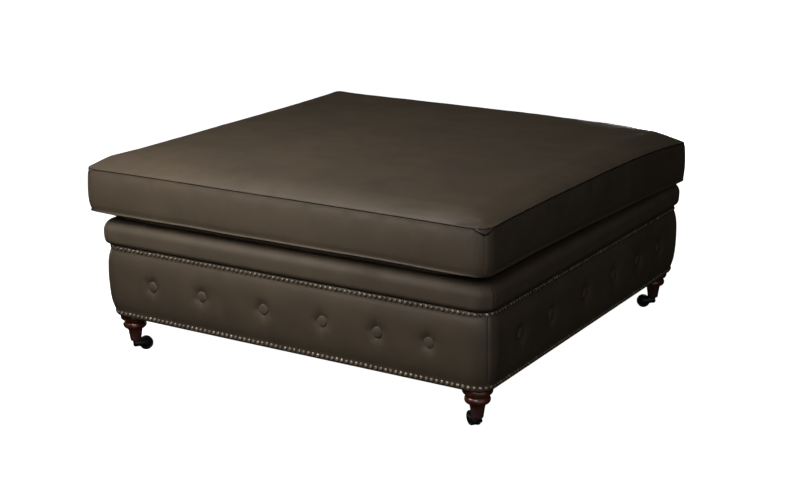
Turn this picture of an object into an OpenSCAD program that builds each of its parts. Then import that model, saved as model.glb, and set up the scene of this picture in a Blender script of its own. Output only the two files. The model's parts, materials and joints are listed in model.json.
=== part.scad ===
// Tufted pouf: a low square base with buttoned leather sides, a padded roll round
// its top edge and turned legs on small swivel castors, under a loose boxed cushion.
// Millimetres. Origin on the floor below the centre, +Z up, the front towards -Y.

/* [Cushion] */
// Width of the cushion, left to right, over its swell
cushion_w = 1000; // [800:10:1300]
// Depth of the cushion, front to back, over its swell
cushion_d = 1000; // [800:10:1300]
// Radius of the cushion's upright corners
cushion_r = 42; // [25:1:90]
// Height of the boxing from seam to seam
boxing_h = 94; // [60:2:140]
// Rise of the top panel above its seam
crown_top = 23; // [8:1:50]
// Fall of the bottom panel below its seam
crown_bottom = 21; // [8:1:40]
// Width of the rolled edge inside each seam
edge_roll = 40; // [20:1:80]
// How far the sides draw in between the corners
side_draw = 4; // [0:0.5:6]
// How far the boxing swells between its seams
boxing_swell = 3; // [0:0.5:8]
// Thickness of the leather cover with its quilted backing
cover_t = 4; // [4:0.5:7]

/* [Zip] */
// Length of the zip along the back boxing
zip_l = 700; // [300:10:720]
// Width of the zip's tape
zip_w = 24; // [16:1:40]
// Thickness of the zip's tape
zip_t = 1; // [0.6:0.1:1.2]
// Width of the coiled chain
chain_w = 5; // [4:0.5:7]
// How far the chain stands out of the tape
chain_t = 0.8; // [0.6:0.1:1.2]
// Length of the slider along the zip
slider_l = 12; // [8:1:20]
// Length of the slider's pull
pull_l = 20; // [12:1:30]

/* [Base] */
// Width of the base at the upper nail line
base_w = 950; // [760:10:1200]
// Depth of the base at the upper nail line
base_d = 950; // [760:10:1200]
// Radius of the leather round the base's upright corners
base_r = 35; // [32:1:60]
// Height of the tufted panels
panel_h = 163; // [140:1:220]
// Padding under the leather at the top edge
edge_t_top = 5; // [4:0.5:8]
// Padding under the leather at the bottom edge
edge_t_bottom = 8.5; // [4:0.5:12]
// Swell of the panels between their edges
panel_swell = 9; // [2:0.5:25]
// Flat margin of leather at the bottom edge
margin_bottom = 14; // [12:1:24]
// Flat margin of leather at the top edge
margin_top = 11; // [10:1:24]

/* [Tufting] */
// Height of the buttons above the panels' bottom edge
button_h = 85; // [78:1:105]
// Diameter of the covered buttons
button_dia = 24; // [14:1:34]
// Thickness of the covered buttons
button_t = 7; // [4:0.5:12]
// Depth of the dimple that each button pulls
tuft_depth = 8; // [3:0.5:12]
// Reach of each dimple
tuft_reach = 24; // [14:1:40]
// Diameter of the twine behind each button
twine_dia = 1.6; // [1:0.1:3]
// Diameter of the toggle that the twine is tied to
toggle_dia = 14; // [8:1:24]
// Thickness of the toggle
toggle_t = 2; // [1:0.5:4]

/* [Nails] */
// Spacing of the nails along each row
nail_pitch = 11.7; // [10.5:0.1:30]
// Diameter of the nail heads
nail_dia = 9; // [6:0.5:9.5]
// Height of the domed nail heads
nail_dome = 2.6; // [1.5:0.1:4]
// Length of the nail shanks
nail_l = 11; // [9:0.5:12]
// Diameter of the nail shanks
nail_shank = 1.4; // [1:0.1:2]
// Upper nail line below the panels' top edge
nail_drop = 5; // [5:0.5:6]
// Lower nail line above the panels' bottom edge
nail_rise = 8; // [6:0.5:9]

/* [Roll] */
// Height of the roll over the upper nail line
roll_h = 57; // [45:1:90]
// How far the roll stands out past the upper nail line
roll_out = 12.5; // [6:0.5:25]
// Radius of the roll's top shoulder
roll_r_top = 24; // [12:1:26]
// Radius of the roll's underside
roll_r_bottom = 13; // [6:1:15]
// Height of the roll above the rail it sits on
roll_pad = 22; // [16:1:30]
// Thickness of the roll's leather
roll_skin = 2; // [1:0.5:4]

/* [Frame] */
// Thickness of the rails
rail_t = 25; // [22:1:34]
// Height of the lower rails
lower_rail_h = 60; // [50:1:62]
// Height of the upper rails
upper_rail_h = 60; // [50:1:70]
// Side of the square corner posts
post_w = 45; // [42:1:60]
// Leg of the triangular corner blocks, along the rails
block_leg = 85; // [70:1:120]
// Thickness of the corner blocks
block_t = 28; // [16:1:30]
// Diameter of the dowels that join rails and posts
dowel_dia = 8; // [6:0.5:10]
// Length of the dowels
dowel_l = 36; // [24:1:38]
// Thickness of the boards behind the tufting
board_t = 4; // [3:0.5:8]
// Lap of the boards over the rails
board_lap = 25; // [15:1:30]

/* [Deck] */
// Width of the webbing
web_w = 50; // [30:1:70]
// Thickness of the webbing
web_t = 1.5; // [1:0.1:2]
// Spacing of the webbing
web_pitch = 110; // [85:1:150]
// Thickness of the deck's cloth
deck_t = 1.5; // [1:0.1:3]
// Thickness of the dust cover under the frame
dust_t = 1; // [0.5:0.1:2]

/* [Legs] */
// Height of the turned legs
leg_h = 68; // [66:1:110]
// Distance of the leg axes inside the nail line
leg_in = 35; // [31:1:36]
// Diameter of the leg's upper ring
ring_dia = 61; // [50:1:66]
// Diameter of the leg's lower ring
bead_dia = 51; // [42:1:58]
// Thickness of the two rings
ring_h = 16; // [12:1:17]
// Diameter of the shaft under the rings
shaft_dia = 33; // [28:1:40]
// Diameter of the shaft above its rounded end
shaft_end_dia = 25; // [22:1:27]
// Diameter of the leg's threaded stud
stud_dia = 8; // [6:0.5:10]
// Length of the stud
stud_l = 44; // [30:1:48]
// Length of the threaded insert in each post
insert_l = 22; // [18:1:40]

/* [Castors] */
// Height of the castors under the legs
castor_h = 24; // [24:0.5:30]
// Diameter of the wheels
wheel_dia = 31; // [26:0.5:31]
// Width of the wheels
wheel_w = 13; // [8:0.5:16]
// Distance from the swivel axis to the axle
trail = 23; // [23:0.5:30]
// Diameter of the axles
axle_dia = 4; // [3:0.5:5]
// Diameter of the swivel stem
stem_dia = 7; // [5:0.5:8]
// Length of the stem in the leg
stem_l = 30; // [20:1:34]
// Wall of the stem's socket
socket_wall = 1; // [0.8:0.1:2]
// Diameter of the horn's hub
hub_dia = 13.6; // [11:0.1:13.8]
// Thickness of the horn's cheeks
cheek_t = 1.8; // [1.2:0.1:3]

/* [Hidden] */
SIDES = ["front", "right", "back", "left"];
CORNERS = ["front_right", "back_right", "back_left", "front_left"];
$fn = 48;

// Clearances
soft_gap = 0.3;
fit_gap = 0.05;
twine_gap = 0.7;

// Colours
leather = [0.24, 0.21, 0.18];
wood_raw = [0.78, 0.62, 0.42];
wood_red = [0.30, 0.10, 0.07];
old_brass = [0.52, 0.42, 0.27];
dark_metal = [0.10, 0.10, 0.11];
foam = [0.88, 0.84, 0.70];
cloth = [0.12, 0.12, 0.12];
jute = [0.66, 0.54, 0.36];
steel = [0.62, 0.63, 0.65];

// Heights, floor upwards
base_z = castor_h + leg_h;
frame_z = base_z + dust_t;
lower_top = frame_z + lower_rail_h;
roll_z = base_z + panel_h;
roll_top = roll_z + roll_h;
rail_top = roll_top - roll_pad;
upper_low = rail_top - upper_rail_h;
web_rise = web_t + soft_gap;
web_top = rail_top + web_t + web_rise;
button_z = base_z + button_h;
seam_low = roll_top + soft_gap + crown_bottom;
seam_high = seam_low + boxing_h;
zip_z = (seam_low + seam_high) / 2;

// Centres of the base's rounded corners
corner_x = base_w / 2 - base_r;
corner_y = base_d / 2 - base_r;
// Faces of the frame, outwards from those centres
frame_r = base_r - edge_t_top;
frame_in = frame_r - rail_t;
post_in = frame_r - post_w;
leg_off = base_r - leg_in;

// Half the straight run of side q, and the distance to its corner centres
function run(q) = q % 2 == 0 ? corner_x : corner_y;
function off(q) = q % 2 == 0 ? corner_y : corner_x;

// Hand-spaced buttons, as shares of the straight run, left to right on each side
button_share = [-0.39, -0.236, -0.051, 0.117, 0.267, 0.403];
function buttons(q) = [for (s = button_share) s * 2 * run(q)];

// Headings of the castors at rest, one for each corner
heading = [146, 218, 300, 55];

function flat(list) = [for (a = list) for (b = a) b];
function quad(a, b, c, d) = [[a, b, c], [a, c, d]];
function arc(cx, cy, r, from, to, n) =
    [for (i = [0:n]) let (w = from + (to - from) * i / n) [cx + r * cos(w), cy + r * sin(w)]];
function rounded(hx, hy, r) = concat(
    arc(hx - r, hy - r, r, 0, 90, 8), arc(r - hx, hy - r, r, 90, 180, 8),
    arc(r - hx, r - hy, r, 180, 270, 8), arc(hx - r, r - hy, r, 270, 360, 8));

module at_side(q) {
    rotate([0, 0, 90 * q]) children();
}

// Corner 0 is the front right one, then counterclockwise. There +X and +Y both point outwards.
module at_corner(c) {
    sx = c < 2 ? 1 : -1;
    sy = c == 1 || c == 2 ? 1 : -1;
    translate([sx * corner_x, sy * corner_y, 0]) rotate([0, 0, 90 * (c - 1)]) children();
}

// Cushion: rings of points from the bottom's middle, up the boxing, to the top's middle
function draw_side(a, b, r, k, m) = concat(
    [for (i = [0:m - 1]) let (t = 2 * i / m - 1) [a - side_draw * (1 - pow(t, 4)), t * (b - r)]],
    [for (j = [0:k - 1]) [a - r + r * cos(90 * j / k), b - r + r * sin(90 * j / k)]]);
function turned(p, q) = q == 0 ? p : turned([-p[1], p[0]], q - 1);
function cushion_outline(hx, hy, r, k, m) = [
    for (q = [0:3])
        for (p = q % 2 == 0 ? draw_side(hx, hy, r, k, m) : draw_side(hy, hx, r, k, m)) turned(p, q)];
function edge_rise(f) =
    let (start = 1 - 2 * edge_roll / min(cushion_w, cushion_d))
    f < start ? 1 : sqrt(max(0, 1 - pow((f - start) / (1 - start), 2)));
function top_rise(f) = crown_top * (0.6 * edge_rise(f) + 0.4 * (1 - f * f));
function cushion_ring(inset, swell, share, z, k, m) = [
    for (p = cushion_outline(cushion_w / 2 - boxing_swell + swell - inset,
                             cushion_d / 2 - boxing_swell + swell - inset, cushion_r - inset, k, m))
        [p[0] * share, p[1] * share, z]];
function cushion_rings(inset, k, m, shares, levels) = concat(
    [for (i = [len(shares) - 1:-1:1])
        cushion_ring(inset, 0, shares[i], seam_low + inset - crown_bottom * edge_rise(shares[i]), k, m)],
    [for (t = levels)
        cushion_ring(inset, boxing_swell * sin(180 * t), 1,
                     seam_low + inset + t * (boxing_h - 2 * inset), k, m)],
    [for (i = [1:len(shares) - 1])
        cushion_ring(inset, 0, shares[i], seam_high - inset + top_rise(shares[i]), k, m)]);

module cushion_form(inset, k, m, shares, levels) {
    rings = cushion_rings(inset, k, m, shares, levels);
    count = 4 * (k + m);
    last = len(rings) - 1;
    low = (last + 1) * count;
    points = concat(flat(rings), [
        [0, 0, seam_low + inset - crown_bottom],
        [0, 0, seam_high - inset + crown_top]]);
    around = [for (i = [0:count - 1]) [i, (i + 1) % count]];
    faces = concat(
        [for (e = around) [low, e[0], e[1]]],
        flat([for (j = [0:last - 1]) for (e = around)
            quad(j * count + e[0], (j + 1) * count + e[0], (j + 1) * count + e[1], j * count + e[1])]),
        [for (e = around) [low + 1, last * count + e[1], last * count + e[0]]]);
    polyhedron(points, faces);
}

FINE_SHARES = [1, 0.985, 0.955, 0.92, 0.75, 0.4];
FINE_LEVELS = [0, 0.2, 0.5, 0.8, 1];
COARSE_SHARES = [1, 0.92, 0.5];
COARSE_LEVELS = [0, 0.5, 1];

zip_y = cushion_d / 2 - side_draw - zip_t - 0.2;
zip_end = 6;

module cushion_cover() {
    color(leather) difference() {
        cushion_form(0, 6, 10, FINE_SHARES, FINE_LEVELS);
        cushion_form(cover_t, 3, 6, COARSE_SHARES, COARSE_LEVELS);
        translate([-zip_l / 2 - fit_gap, zip_y, zip_z - zip_w / 2 - fit_gap])
            cube([zip_l + 2 * fit_gap, zip_t + side_draw + 5, zip_w + 2 * fit_gap]);
    }
}

module cushion_foam() {
    color(foam) cushion_form(cover_t + soft_gap, 3, 6, COARSE_SHARES, COARSE_LEVELS);
}

module zip_tape() {
    color(cloth) translate([-zip_l / 2, zip_y, zip_z]) {
        translate([0, 0, -zip_w / 2]) cube([zip_l, zip_t, zip_w]);
        translate([zip_end, 0, -chain_w / 2]) cube([zip_l - 2 * zip_end, zip_t + chain_t, chain_w]);
    }
}

slider_gap = 0.2;
slider_t = 1.2;
pull_w = 5;
pull_t = 1;
slider_x = zip_l / 2 - zip_end - slider_l;

module zip_slider() {
    flange = 1.2;
    wide = chain_w + 2 * (slider_gap + flange);
    face = zip_y + zip_t + chain_t + slider_gap;
    color(steel) translate([slider_x, 0, zip_z]) {
        translate([0, face, -wide / 2]) cube([slider_l, slider_t, wide]);
        for (s = [-1, 1])
            translate([0, zip_y + zip_t + slider_gap, s * (wide - flange) / 2 - flange / 2])
                cube([slider_l, chain_t + slider_t, flange]);
        translate([(slider_l - pull_w) / 2, face + slider_t, -pull_l])
            cube([pull_w, pull_t, pull_l + pull_w / 2]);
    }
}

// Deck and webbing
module deck_plate(z, t) {
    translate([0, 0, z]) linear_extrude(t)
        polygon(rounded(corner_x + frame_in - soft_gap, corner_y + frame_in - soft_gap,
                        frame_in - soft_gap));
}

module deck_cloth() {
    color(cloth) deck_plate(roll_top - deck_t, deck_t);
}

module deck_pad() {
    color(foam) deck_plate(web_top + soft_gap, roll_top - deck_t - web_top - soft_gap);
}

web_grip = rail_t - 8;
function straps(half) = floor((half + frame_in - web_w) / web_pitch);

// One strap along X: low on the rails, then over and under the straps that cross it
module strap(half, crossings, first_up) {
    lift = [for (i = [-crossings:crossings]) (i + crossings + first_up) % 2 == 1 ? web_rise : 0];
    path = concat(
        [[-half - frame_in - web_grip, 0], [-half - frame_in, 0]],
        flat([for (i = [-crossings:crossings])
            [[i * web_pitch - web_w / 2 - 2, lift[i + crossings]],
             [i * web_pitch + web_w / 2 + 2, lift[i + crossings]]]]),
        [[half + frame_in, 0], [half + frame_in + web_grip, 0]]);
    last = len(path) - 1;
    translate([0, web_w / 2, rail_top]) rotate([90, 0, 0]) linear_extrude(web_w)
        polygon(concat(path, [for (i = [last:-1:0]) [path[i][0], path[i][1] + web_t]]));
}

module webbing_long() {
    n = straps(corner_y);
    color(jute) for (j = [-n:n])
        translate([0, j * web_pitch, 0]) strap(corner_x, straps(corner_x), (j + n) % 2);
}

module webbing_cross() {
    n = straps(corner_x);
    color(jute) for (j = [-n:n])
        rotate([0, 0, 90]) translate([0, -j * web_pitch, 0])
            strap(corner_y, straps(corner_y), (j + n + 1) % 2);
}

// Roll: an L-shaped band, leather over foam, that sits on the rails and laps their face
shelf = rail_top + web_t + soft_gap;
function roll_skin_line(t) = concat(
    arc(base_r + roll_out - roll_r_bottom, roll_z + roll_r_bottom, roll_r_bottom - t, -90, 0, 6),
    arc(base_r + roll_out - roll_r_top, roll_top - roll_r_top, roll_r_top - t, 0, 90, 8));
function backwards(list) = [for (i = [len(list) - 1:-1:0]) list[i]];

module round_base(points) {
    for (q = [0:3])
        at_side(q) translate([-run(q), -off(q), 0]) mirror([0, 1, 0])
            rotate([90, 0, 90]) linear_extrude(2 * run(q)) polygon(points);
    for (c = [0:3])
        at_corner(c) rotate_extrude(angle = 90) polygon(points);
}

module roll_cover() {
    color(leather) round_base(concat(
        [[frame_r, roll_z]], roll_skin_line(0), [[frame_in, roll_top], [frame_in, roll_top - roll_skin]],
        backwards(roll_skin_line(roll_skin)), [[frame_r, roll_z + roll_skin]]));
}

module roll_foam() {
    color(foam) round_base(concat(
        [[frame_r, roll_z + roll_skin]], roll_skin_line(roll_skin),
        [[frame_in, roll_top - roll_skin], [frame_in, shelf], [frame_r, shelf]]));
}

// Frame
dowel_inset = 15;
function dowel_heights(low, high) = [low + dowel_inset, high - dowel_inset];
dowel_off = frame_r - rail_t / 2;

module side_dowels(q, z_low, z_high, gap) {
    for (s = [-1, 1])
        for (z = dowel_heights(z_low, z_high))
            translate([s * (run(q) + post_in), -off(q) - dowel_off, z]) rotate([0, 90, 0])
                cylinder(r = dowel_dia / 2 + gap, h = dowel_l + 2 * gap, center = true);
}

module rail(q, z_low, z_high) {
    color(wood_raw) at_side(q) difference() {
        translate([-run(q) - post_in, -off(q) - frame_r, z_low])
            cube([2 * (run(q) + post_in), rail_t, z_high - z_low]);
        side_dowels(q, z_low, z_high, fit_gap);
    }
}

module corner_posts() {
    color(wood_raw) difference() {
        for (c = [0:3])
            at_corner(c) difference() {
                translate([0, 0, frame_z]) linear_extrude(rail_top - frame_z)
                    polygon(concat([[post_in, post_in], [frame_r, post_in]],
                                   arc(0, 0, frame_r, 0, 90, 12), [[post_in, frame_r]]));
                translate([leg_off, leg_off, frame_z - 1])
                    cylinder(r = insert_dia / 2 + fit_gap, h = insert_l + 1 + 2 * fit_gap);
                translate([leg_off, leg_off, frame_z - 1])
                    cylinder(r = stud_dia / 2 + fit_gap, h = stud_up + 3);
            }
        for (q = [0:3])
            at_side(q) {
                side_dowels(q, frame_z, lower_top, fit_gap);
                side_dowels(q, upper_low, rail_top, fit_gap);
            }
    }
}

module frame_dowels() {
    color(wood_raw) for (q = [0:3])
        at_side(q) {
            side_dowels(q, frame_z, lower_top, 0);
            side_dowels(q, upper_low, rail_top, 0);
        }
}

module corner_blocks() {
    color(wood_raw) for (c = [0:3])
        at_corner(c) for (z = [frame_z, rail_top - block_t])
            translate([0, 0, z]) difference() {
                linear_extrude(block_t)
                    polygon([[frame_in, frame_in], [frame_in, frame_in - block_leg],
                             [frame_in - block_leg, frame_in]]);
                translate([post_in, post_in, -1]) cube([post_w, post_w, block_t + 2]);
            }
}

board_low = lower_top - board_lap;
board_high = upper_low + board_lap;

module twine_holes(q, from, length) {
    for (x = buttons(q))
        translate([x, -off(q) - from, button_z]) rotate([-90, 0, 0])
            cylinder(r = twine_dia / 2 + twine_gap, h = length, $fn = 24);
}

module backing_boards() {
    color(wood_raw) for (q = [0:3])
        at_side(q) difference() {
            translate([-run(q) - post_in, -off(q) - frame_in, board_low])
                cube([2 * (run(q) + post_in), board_t, board_high - board_low]);
            twine_holes(q, frame_in + 1, board_t + 2);
        }
}

module side_infills() {
    color(foam) for (q = [0:3])
        at_side(q) difference() {
            translate([-run(q) - post_in, -off(q) - frame_r, lower_top])
                cube([2 * (run(q) + post_in), rail_t, upper_low - lower_top]);
            twine_holes(q, frame_r + 1, rail_t + 2);
        }
}

// Tufted panels: a grid of columns along the side and rows up it
column_step = 22;
end_angle = 45 - 0.25;
function straight_columns(knots) = [
    for (i = [0:len(knots) - 2])
        let (n = ceil((knots[i + 1] - knots[i]) / column_step))
            for (j = [0:n - 1]) [knots[i] + (knots[i + 1] - knots[i]) * j / n, 0]];
function columns(q) = concat(
    [[-run(q), -end_angle], [-run(q), -30], [-run(q), -15]],
    straight_columns(concat([-run(q)], buttons(q), [run(q)])),
    [[run(q), 0], [run(q), 15], [run(q), 30], [run(q), end_angle]]);

swell_low = base_z + margin_bottom;
swell_high = roll_z - soft_gap - margin_top;
button_t_share = (button_z - swell_low) / (swell_high - swell_low);
row_shares = concat(
    [for (k = [0, 0.25, 0.5, 0.75]) k * button_t_share],
    [for (k = [0, 0.25, 0.5, 0.75, 1]) button_t_share + k * (1 - button_t_share)]);
rows = concat([base_z], [for (t = row_shares) swell_low + t * (swell_high - swell_low)],
              [roll_z - soft_gap]);

// Leather's distance outside the corner centres at height z
function leather_r(z) =
    let (t = min(1, max(0, (z - swell_low) / (swell_high - swell_low))))
    base_r + (edge_t_bottom - edge_t_top) * (1 - t) + panel_swell * pow(max(0, sin(180 * t)), 0.8);
function dimple(q, x, z) = let (near = [
        for (b = buttons(q)) exp(-(pow(x - b, 2) + pow(z - button_z, 2)) / pow(tuft_reach, 2))])
    tuft_depth * max(near);
function side_point(q, column, r, z) = [
    column[0] + r * sin(column[1]), -off(q) - r * cos(column[1]), z];

module tufted_panel(q) {
    cols = columns(q);
    nc = len(cols);
    nr = len(rows);
    back = nc * nr;
    outer = [for (c = cols) for (z = rows)
        side_point(q, c, leather_r(z) - (c[1] == 0 ? dimple(q, c[0], z) : 0), z)];
    inner = [for (c = cols) for (z = [base_z, roll_z - soft_gap])
        side_point(q, c, frame_r + soft_gap, z)];
    strips = flat([for (c = [0:nc - 2]) concat(
        flat([for (r = [0:nr - 2])
            quad(c * nr + r, c * nr + r + 1, (c + 1) * nr + r + 1, (c + 1) * nr + r)]),
        quad(back + 2 * c, back + 2 * c + 2, back + 2 * c + 3, back + 2 * c + 1),
        quad(c * nr + nr - 1, back + 2 * c + 1, back + 2 * c + 3, (c + 1) * nr + nr - 1),
        quad(c * nr, (c + 1) * nr, back + 2 * c + 2, back + 2 * c))]);
    last = (nc - 1) * nr;
    low = back + 2 * (nc - 1);
    ends = concat(
        [[back, back + 1, nr - 1], [low, last + nr - 1, low + 1]],
        [for (r = [0:nr - 2]) [back, r + 1, r]],
        [for (r = [0:nr - 2]) [low, last + r, last + r + 1]]);
    color(leather) at_side(q) polyhedron(concat(outer, inner), concat(strips, ends));
}

button_back = leather_r(button_z) - tuft_depth;

module button_row(q) {
    reach = button_back - frame_in + board_t;
    rb = button_dia / 2;
    color(leather) at_side(q) for (x = buttons(q))
        translate([x, -off(q) - button_back, button_z]) rotate([90, 0, 0]) {
            rotate_extrude() polygon(concat(
                [[0, -1], [rb - 2, -1]],
                [for (a = [0:15:90]) [rb - 2 + 2 * cos(a), 2 * sin(a)]],
                [for (s = [0.6, 0.3, 0]) [(rb - 2) * s, 2 + (button_t - 3) * (1 - s * s)]]));
            translate([0, 0, -reach]) cylinder(r = twine_dia / 2, h = reach, $fn = 24);
            translate([0, 0, -reach - toggle_t]) cylinder(r = toggle_dia / 2, h = toggle_t);
        }
}

// Nails at the places listed along X, with their domed heads towards +Z
module nails(places) {
    r = nail_dia / 2;
    dome_r = (r * r + nail_dome * nail_dome) / (2 * nail_dome);
    from = places[0] - 2 * dome_r;
    to = places[len(places) - 1] + 2 * dome_r;
    difference() {
        for (x = places) translate([x, 0, nail_dome - dome_r]) sphere(r = dome_r, $fn = 24);
        translate([from, -2 * dome_r, -3 * dome_r]) cube([to - from, 4 * dome_r, 3 * dome_r]);
    }
    translate([0, 0, -nail_l]) linear_extrude(nail_l + nail_dome / 4)
        for (x = places) translate([x, 0]) circle(r = nail_shank / 2, $fn = 24);
}

// Nails run evenly from corner seam to corner seam, and turn with the leather at both ends
module nail_row(q, z) {
    r = leather_r(z);
    half = run(q) + r * 45 * PI / 180;
    n = floor(2 * half / nail_pitch);
    places = [for (i = [0:n - 1]) (2 * i + 1 - n) * half / n];
    color(old_brass) at_side(q) {
        translate([0, -off(q) - r, z]) rotate([90, 0, 0])
            nails([for (s = places) if (abs(s) <= run(q)) s]);
        for (s = places) if (abs(s) > run(q)) {
            bend = sign(s) * (abs(s) - run(q)) / r * 180 / PI;
            translate(side_point(q, [sign(s) * run(q), bend], r, z)) rotate([90, 0, bend]) nails([0]);
        }
    }
}

module dust_cover() {
    color(cloth) translate([0, 0, base_z]) linear_extrude(dust_t) difference() {
        polygon(rounded(corner_x + frame_r - 2, corner_y + frame_r - 2, frame_r - 2));
        for (c = [0:3])
            at_corner(c) translate([leg_off, leg_off]) circle(r = stud_dia / 2 + 0.5);
    }
}

// Legs and their fixings
stud_up = stud_l / 2;
insert_dia = stud_dia + 4;
end_h = 4;

module leg_solid() {
    r1 = ring_dia / 2;
    r2 = bead_dia / 2;
    b = ring_h / 2;
    ring_z = base_z - b - 1.5;
    bead_z = ring_z - ring_h - 1.5;
    neck = r2 - 1.5;
    rotate_extrude() polygon(concat(
        [[0, castor_h], [shaft_end_dia / 2 - 3, castor_h], [shaft_end_dia / 2, castor_h + end_h]],
        [[shaft_dia / 2, bead_z - b]],
        arc(r2 - b, bead_z, b, -90, 90, 10),
        [[neck - 1, bead_z + b + 0.4]],
        arc(r1 - b, ring_z, b, -90, 90, 10),
        [[r1 - b - 1, base_z], [0, base_z]]));
}

module leg(c) {
    color(wood_red) at_corner(c) translate([leg_off, leg_off, 0]) difference() {
        leg_solid();
        translate([0, 0, base_z - stud_l + stud_up]) cylinder(r = stud_dia / 2 + fit_gap, h = stud_l);
        translate([0, 0, castor_h - 1])
            cylinder(r = stem_dia / 2 + socket_wall + 2 * fit_gap, h = stem_l + 3);
    }
}

module leg_studs() {
    color(steel) for (c = [0:3])
        at_corner(c) translate([leg_off, leg_off, base_z - stud_l + stud_up])
            cylinder(r = stud_dia / 2, h = stud_l);
}

module leg_inserts() {
    color(steel) for (c = [0:3])
        at_corner(c) translate([leg_off, leg_off, frame_z]) difference() {
            cylinder(r = insert_dia / 2, h = insert_l);
            translate([0, 0, -1]) cylinder(r = stud_dia / 2 + fit_gap, h = insert_l + 2);
        }
}

// Castors: a socket in the leg, a horn that swivels in it, an axle and a wheel
flange_t = 1.2;
flange_dia = 17;
flange_low = castor_h - flange_t;
hub_top = flange_low - soft_gap;
wheel_r = wheel_dia / 2;
wheel_gap = 0.5;
cheek_in = wheel_w / 2 + wheel_gap;
hub_h = 12.5;

module castor_sockets() {
    color(dark_metal) for (c = [0:3])
        at_corner(c) translate([leg_off, leg_off, 0]) difference() {
            union() {
                translate([0, 0, flange_low]) cylinder(r = flange_dia / 2, h = flange_t);
                translate([0, 0, flange_low])
                    cylinder(r = stem_dia / 2 + socket_wall + fit_gap, h = flange_t + stem_l + 1);
            }
            translate([0, 0, flange_low - 1]) cylinder(r = stem_dia / 2 + fit_gap, h = stem_l + 4);
        }
}

module at_castor(c) {
    at_corner(c) translate([leg_off, leg_off, 0]) rotate([0, 0, heading[c] - 90 * (c - 1)]) children();
}

module castor_horn(c) {
    arm_h = 9;
    eye_dia = 13;
    bridge = [7.5, 2 * (cheek_in + cheek_t), 6];
    bridge_back = 4;
    bridge_drop = 7;
    color(dark_metal) at_castor(c) {
        translate([0, 0, hub_top - hub_h]) cylinder(r = hub_dia / 2, h = hub_h);
        translate([0, 0, hub_top - 0.5]) cylinder(r = stem_dia / 2, h = stem_l);
        translate([-bridge_back, -cheek_in - cheek_t, hub_top - bridge_drop]) cube(bridge);
        for (s = [-1, 1])
            translate([0, s * (cheek_in + cheek_t / 2) + cheek_t / 2, 0]) rotate([90, 0, 0])
                linear_extrude(cheek_t) difference() {
                    union() {
                        translate([-bridge_back, wheel_r - arm_h / 2])
                            square([trail + bridge_back, arm_h + 1.5]);
                        translate([trail, wheel_r]) circle(r = eye_dia / 2);
                    }
                    translate([trail, wheel_r]) circle(r = axle_dia / 2 + fit_gap / 2);
                }
    }
}

module castor_axle(c) {
    reach = cheek_in + cheek_t;
    head_t = 1;
    color(steel) at_castor(c) translate([trail, 0, wheel_r]) rotate([90, 0, 0]) {
        cylinder(r = axle_dia / 2, h = 2 * reach, center = true);
        for (s = [-1, 1])
            translate([0, 0, s * (reach + head_t / 2)])
                cylinder(r = axle_dia / 2 + 1.2, h = head_t, center = true);
    }
}

module castor_wheel(c) {
    w = wheel_w / 2;
    edge = 2;
    color(dark_metal) at_castor(c) translate([trail, 0, wheel_r]) rotate([90, 0, 0])
        rotate_extrude() polygon(concat(
            [[axle_dia / 2 + fit_gap, -w], [wheel_r * 0.45, -w], [wheel_r * 0.5, 1 - w],
             [wheel_r * 0.72, 1 - w], [wheel_r * 0.78, -w]],
            arc(wheel_r - edge, edge - w, edge, -90, 0, 4),
            arc(wheel_r - edge, w - edge, edge, 0, 90, 4),
            [[wheel_r * 0.78, w], [wheel_r * 0.72, w - 1], [wheel_r * 0.5, w - 1],
             [wheel_r * 0.45, w], [axle_dia / 2 + fit_gap, w]]));
}

cushion_cover();
cushion_foam();
zip_tape();
zip_slider();
deck_cloth();
deck_pad();
webbing_long();
webbing_cross();
roll_cover();
roll_foam();
for (q = [0:3]) {
    rail(q, upper_low, rail_top);
    rail(q, frame_z, lower_top);
    tufted_panel(q);
    button_row(q);
    nail_row(q, roll_z - nail_drop);
    nail_row(q, base_z + nail_rise);
}
corner_posts();
corner_blocks();
frame_dowels();
backing_boards();
side_infills();
dust_cover();
leg_studs();
leg_inserts();
castor_sockets();
for (c = [0:3]) {
    leg(c);
    castor_horn(c);
    castor_axle(c);
    castor_wheel(c);
}
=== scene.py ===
"""Dresses a tufted pouf: leather cushion, roll and buttoned sides, nails, turned legs and castors."""

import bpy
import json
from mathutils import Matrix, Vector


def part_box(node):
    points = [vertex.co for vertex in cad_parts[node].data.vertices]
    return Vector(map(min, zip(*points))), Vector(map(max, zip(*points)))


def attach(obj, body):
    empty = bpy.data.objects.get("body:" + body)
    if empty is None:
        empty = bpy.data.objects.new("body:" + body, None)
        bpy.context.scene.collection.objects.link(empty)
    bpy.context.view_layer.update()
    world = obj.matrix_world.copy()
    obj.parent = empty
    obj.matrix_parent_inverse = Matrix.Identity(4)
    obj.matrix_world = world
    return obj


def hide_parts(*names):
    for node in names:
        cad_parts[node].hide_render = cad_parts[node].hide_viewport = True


bl_info = {
    "name": "Tufted Pouf",
    "version": (1, 0, 0),
    "blender": (4, 5, 0),
    "location": "View3D > Sidebar > Pouf",
    "description": "Upholsters a low square pouf and stands it in a plain studio",
    "category": "Object",
}

import json
import math

import bpy
import numpy as np
from bpy.props import FloatProperty, FloatVectorProperty, IntProperty, PointerProperty
from mathutils import Matrix, Vector, noise

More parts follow.
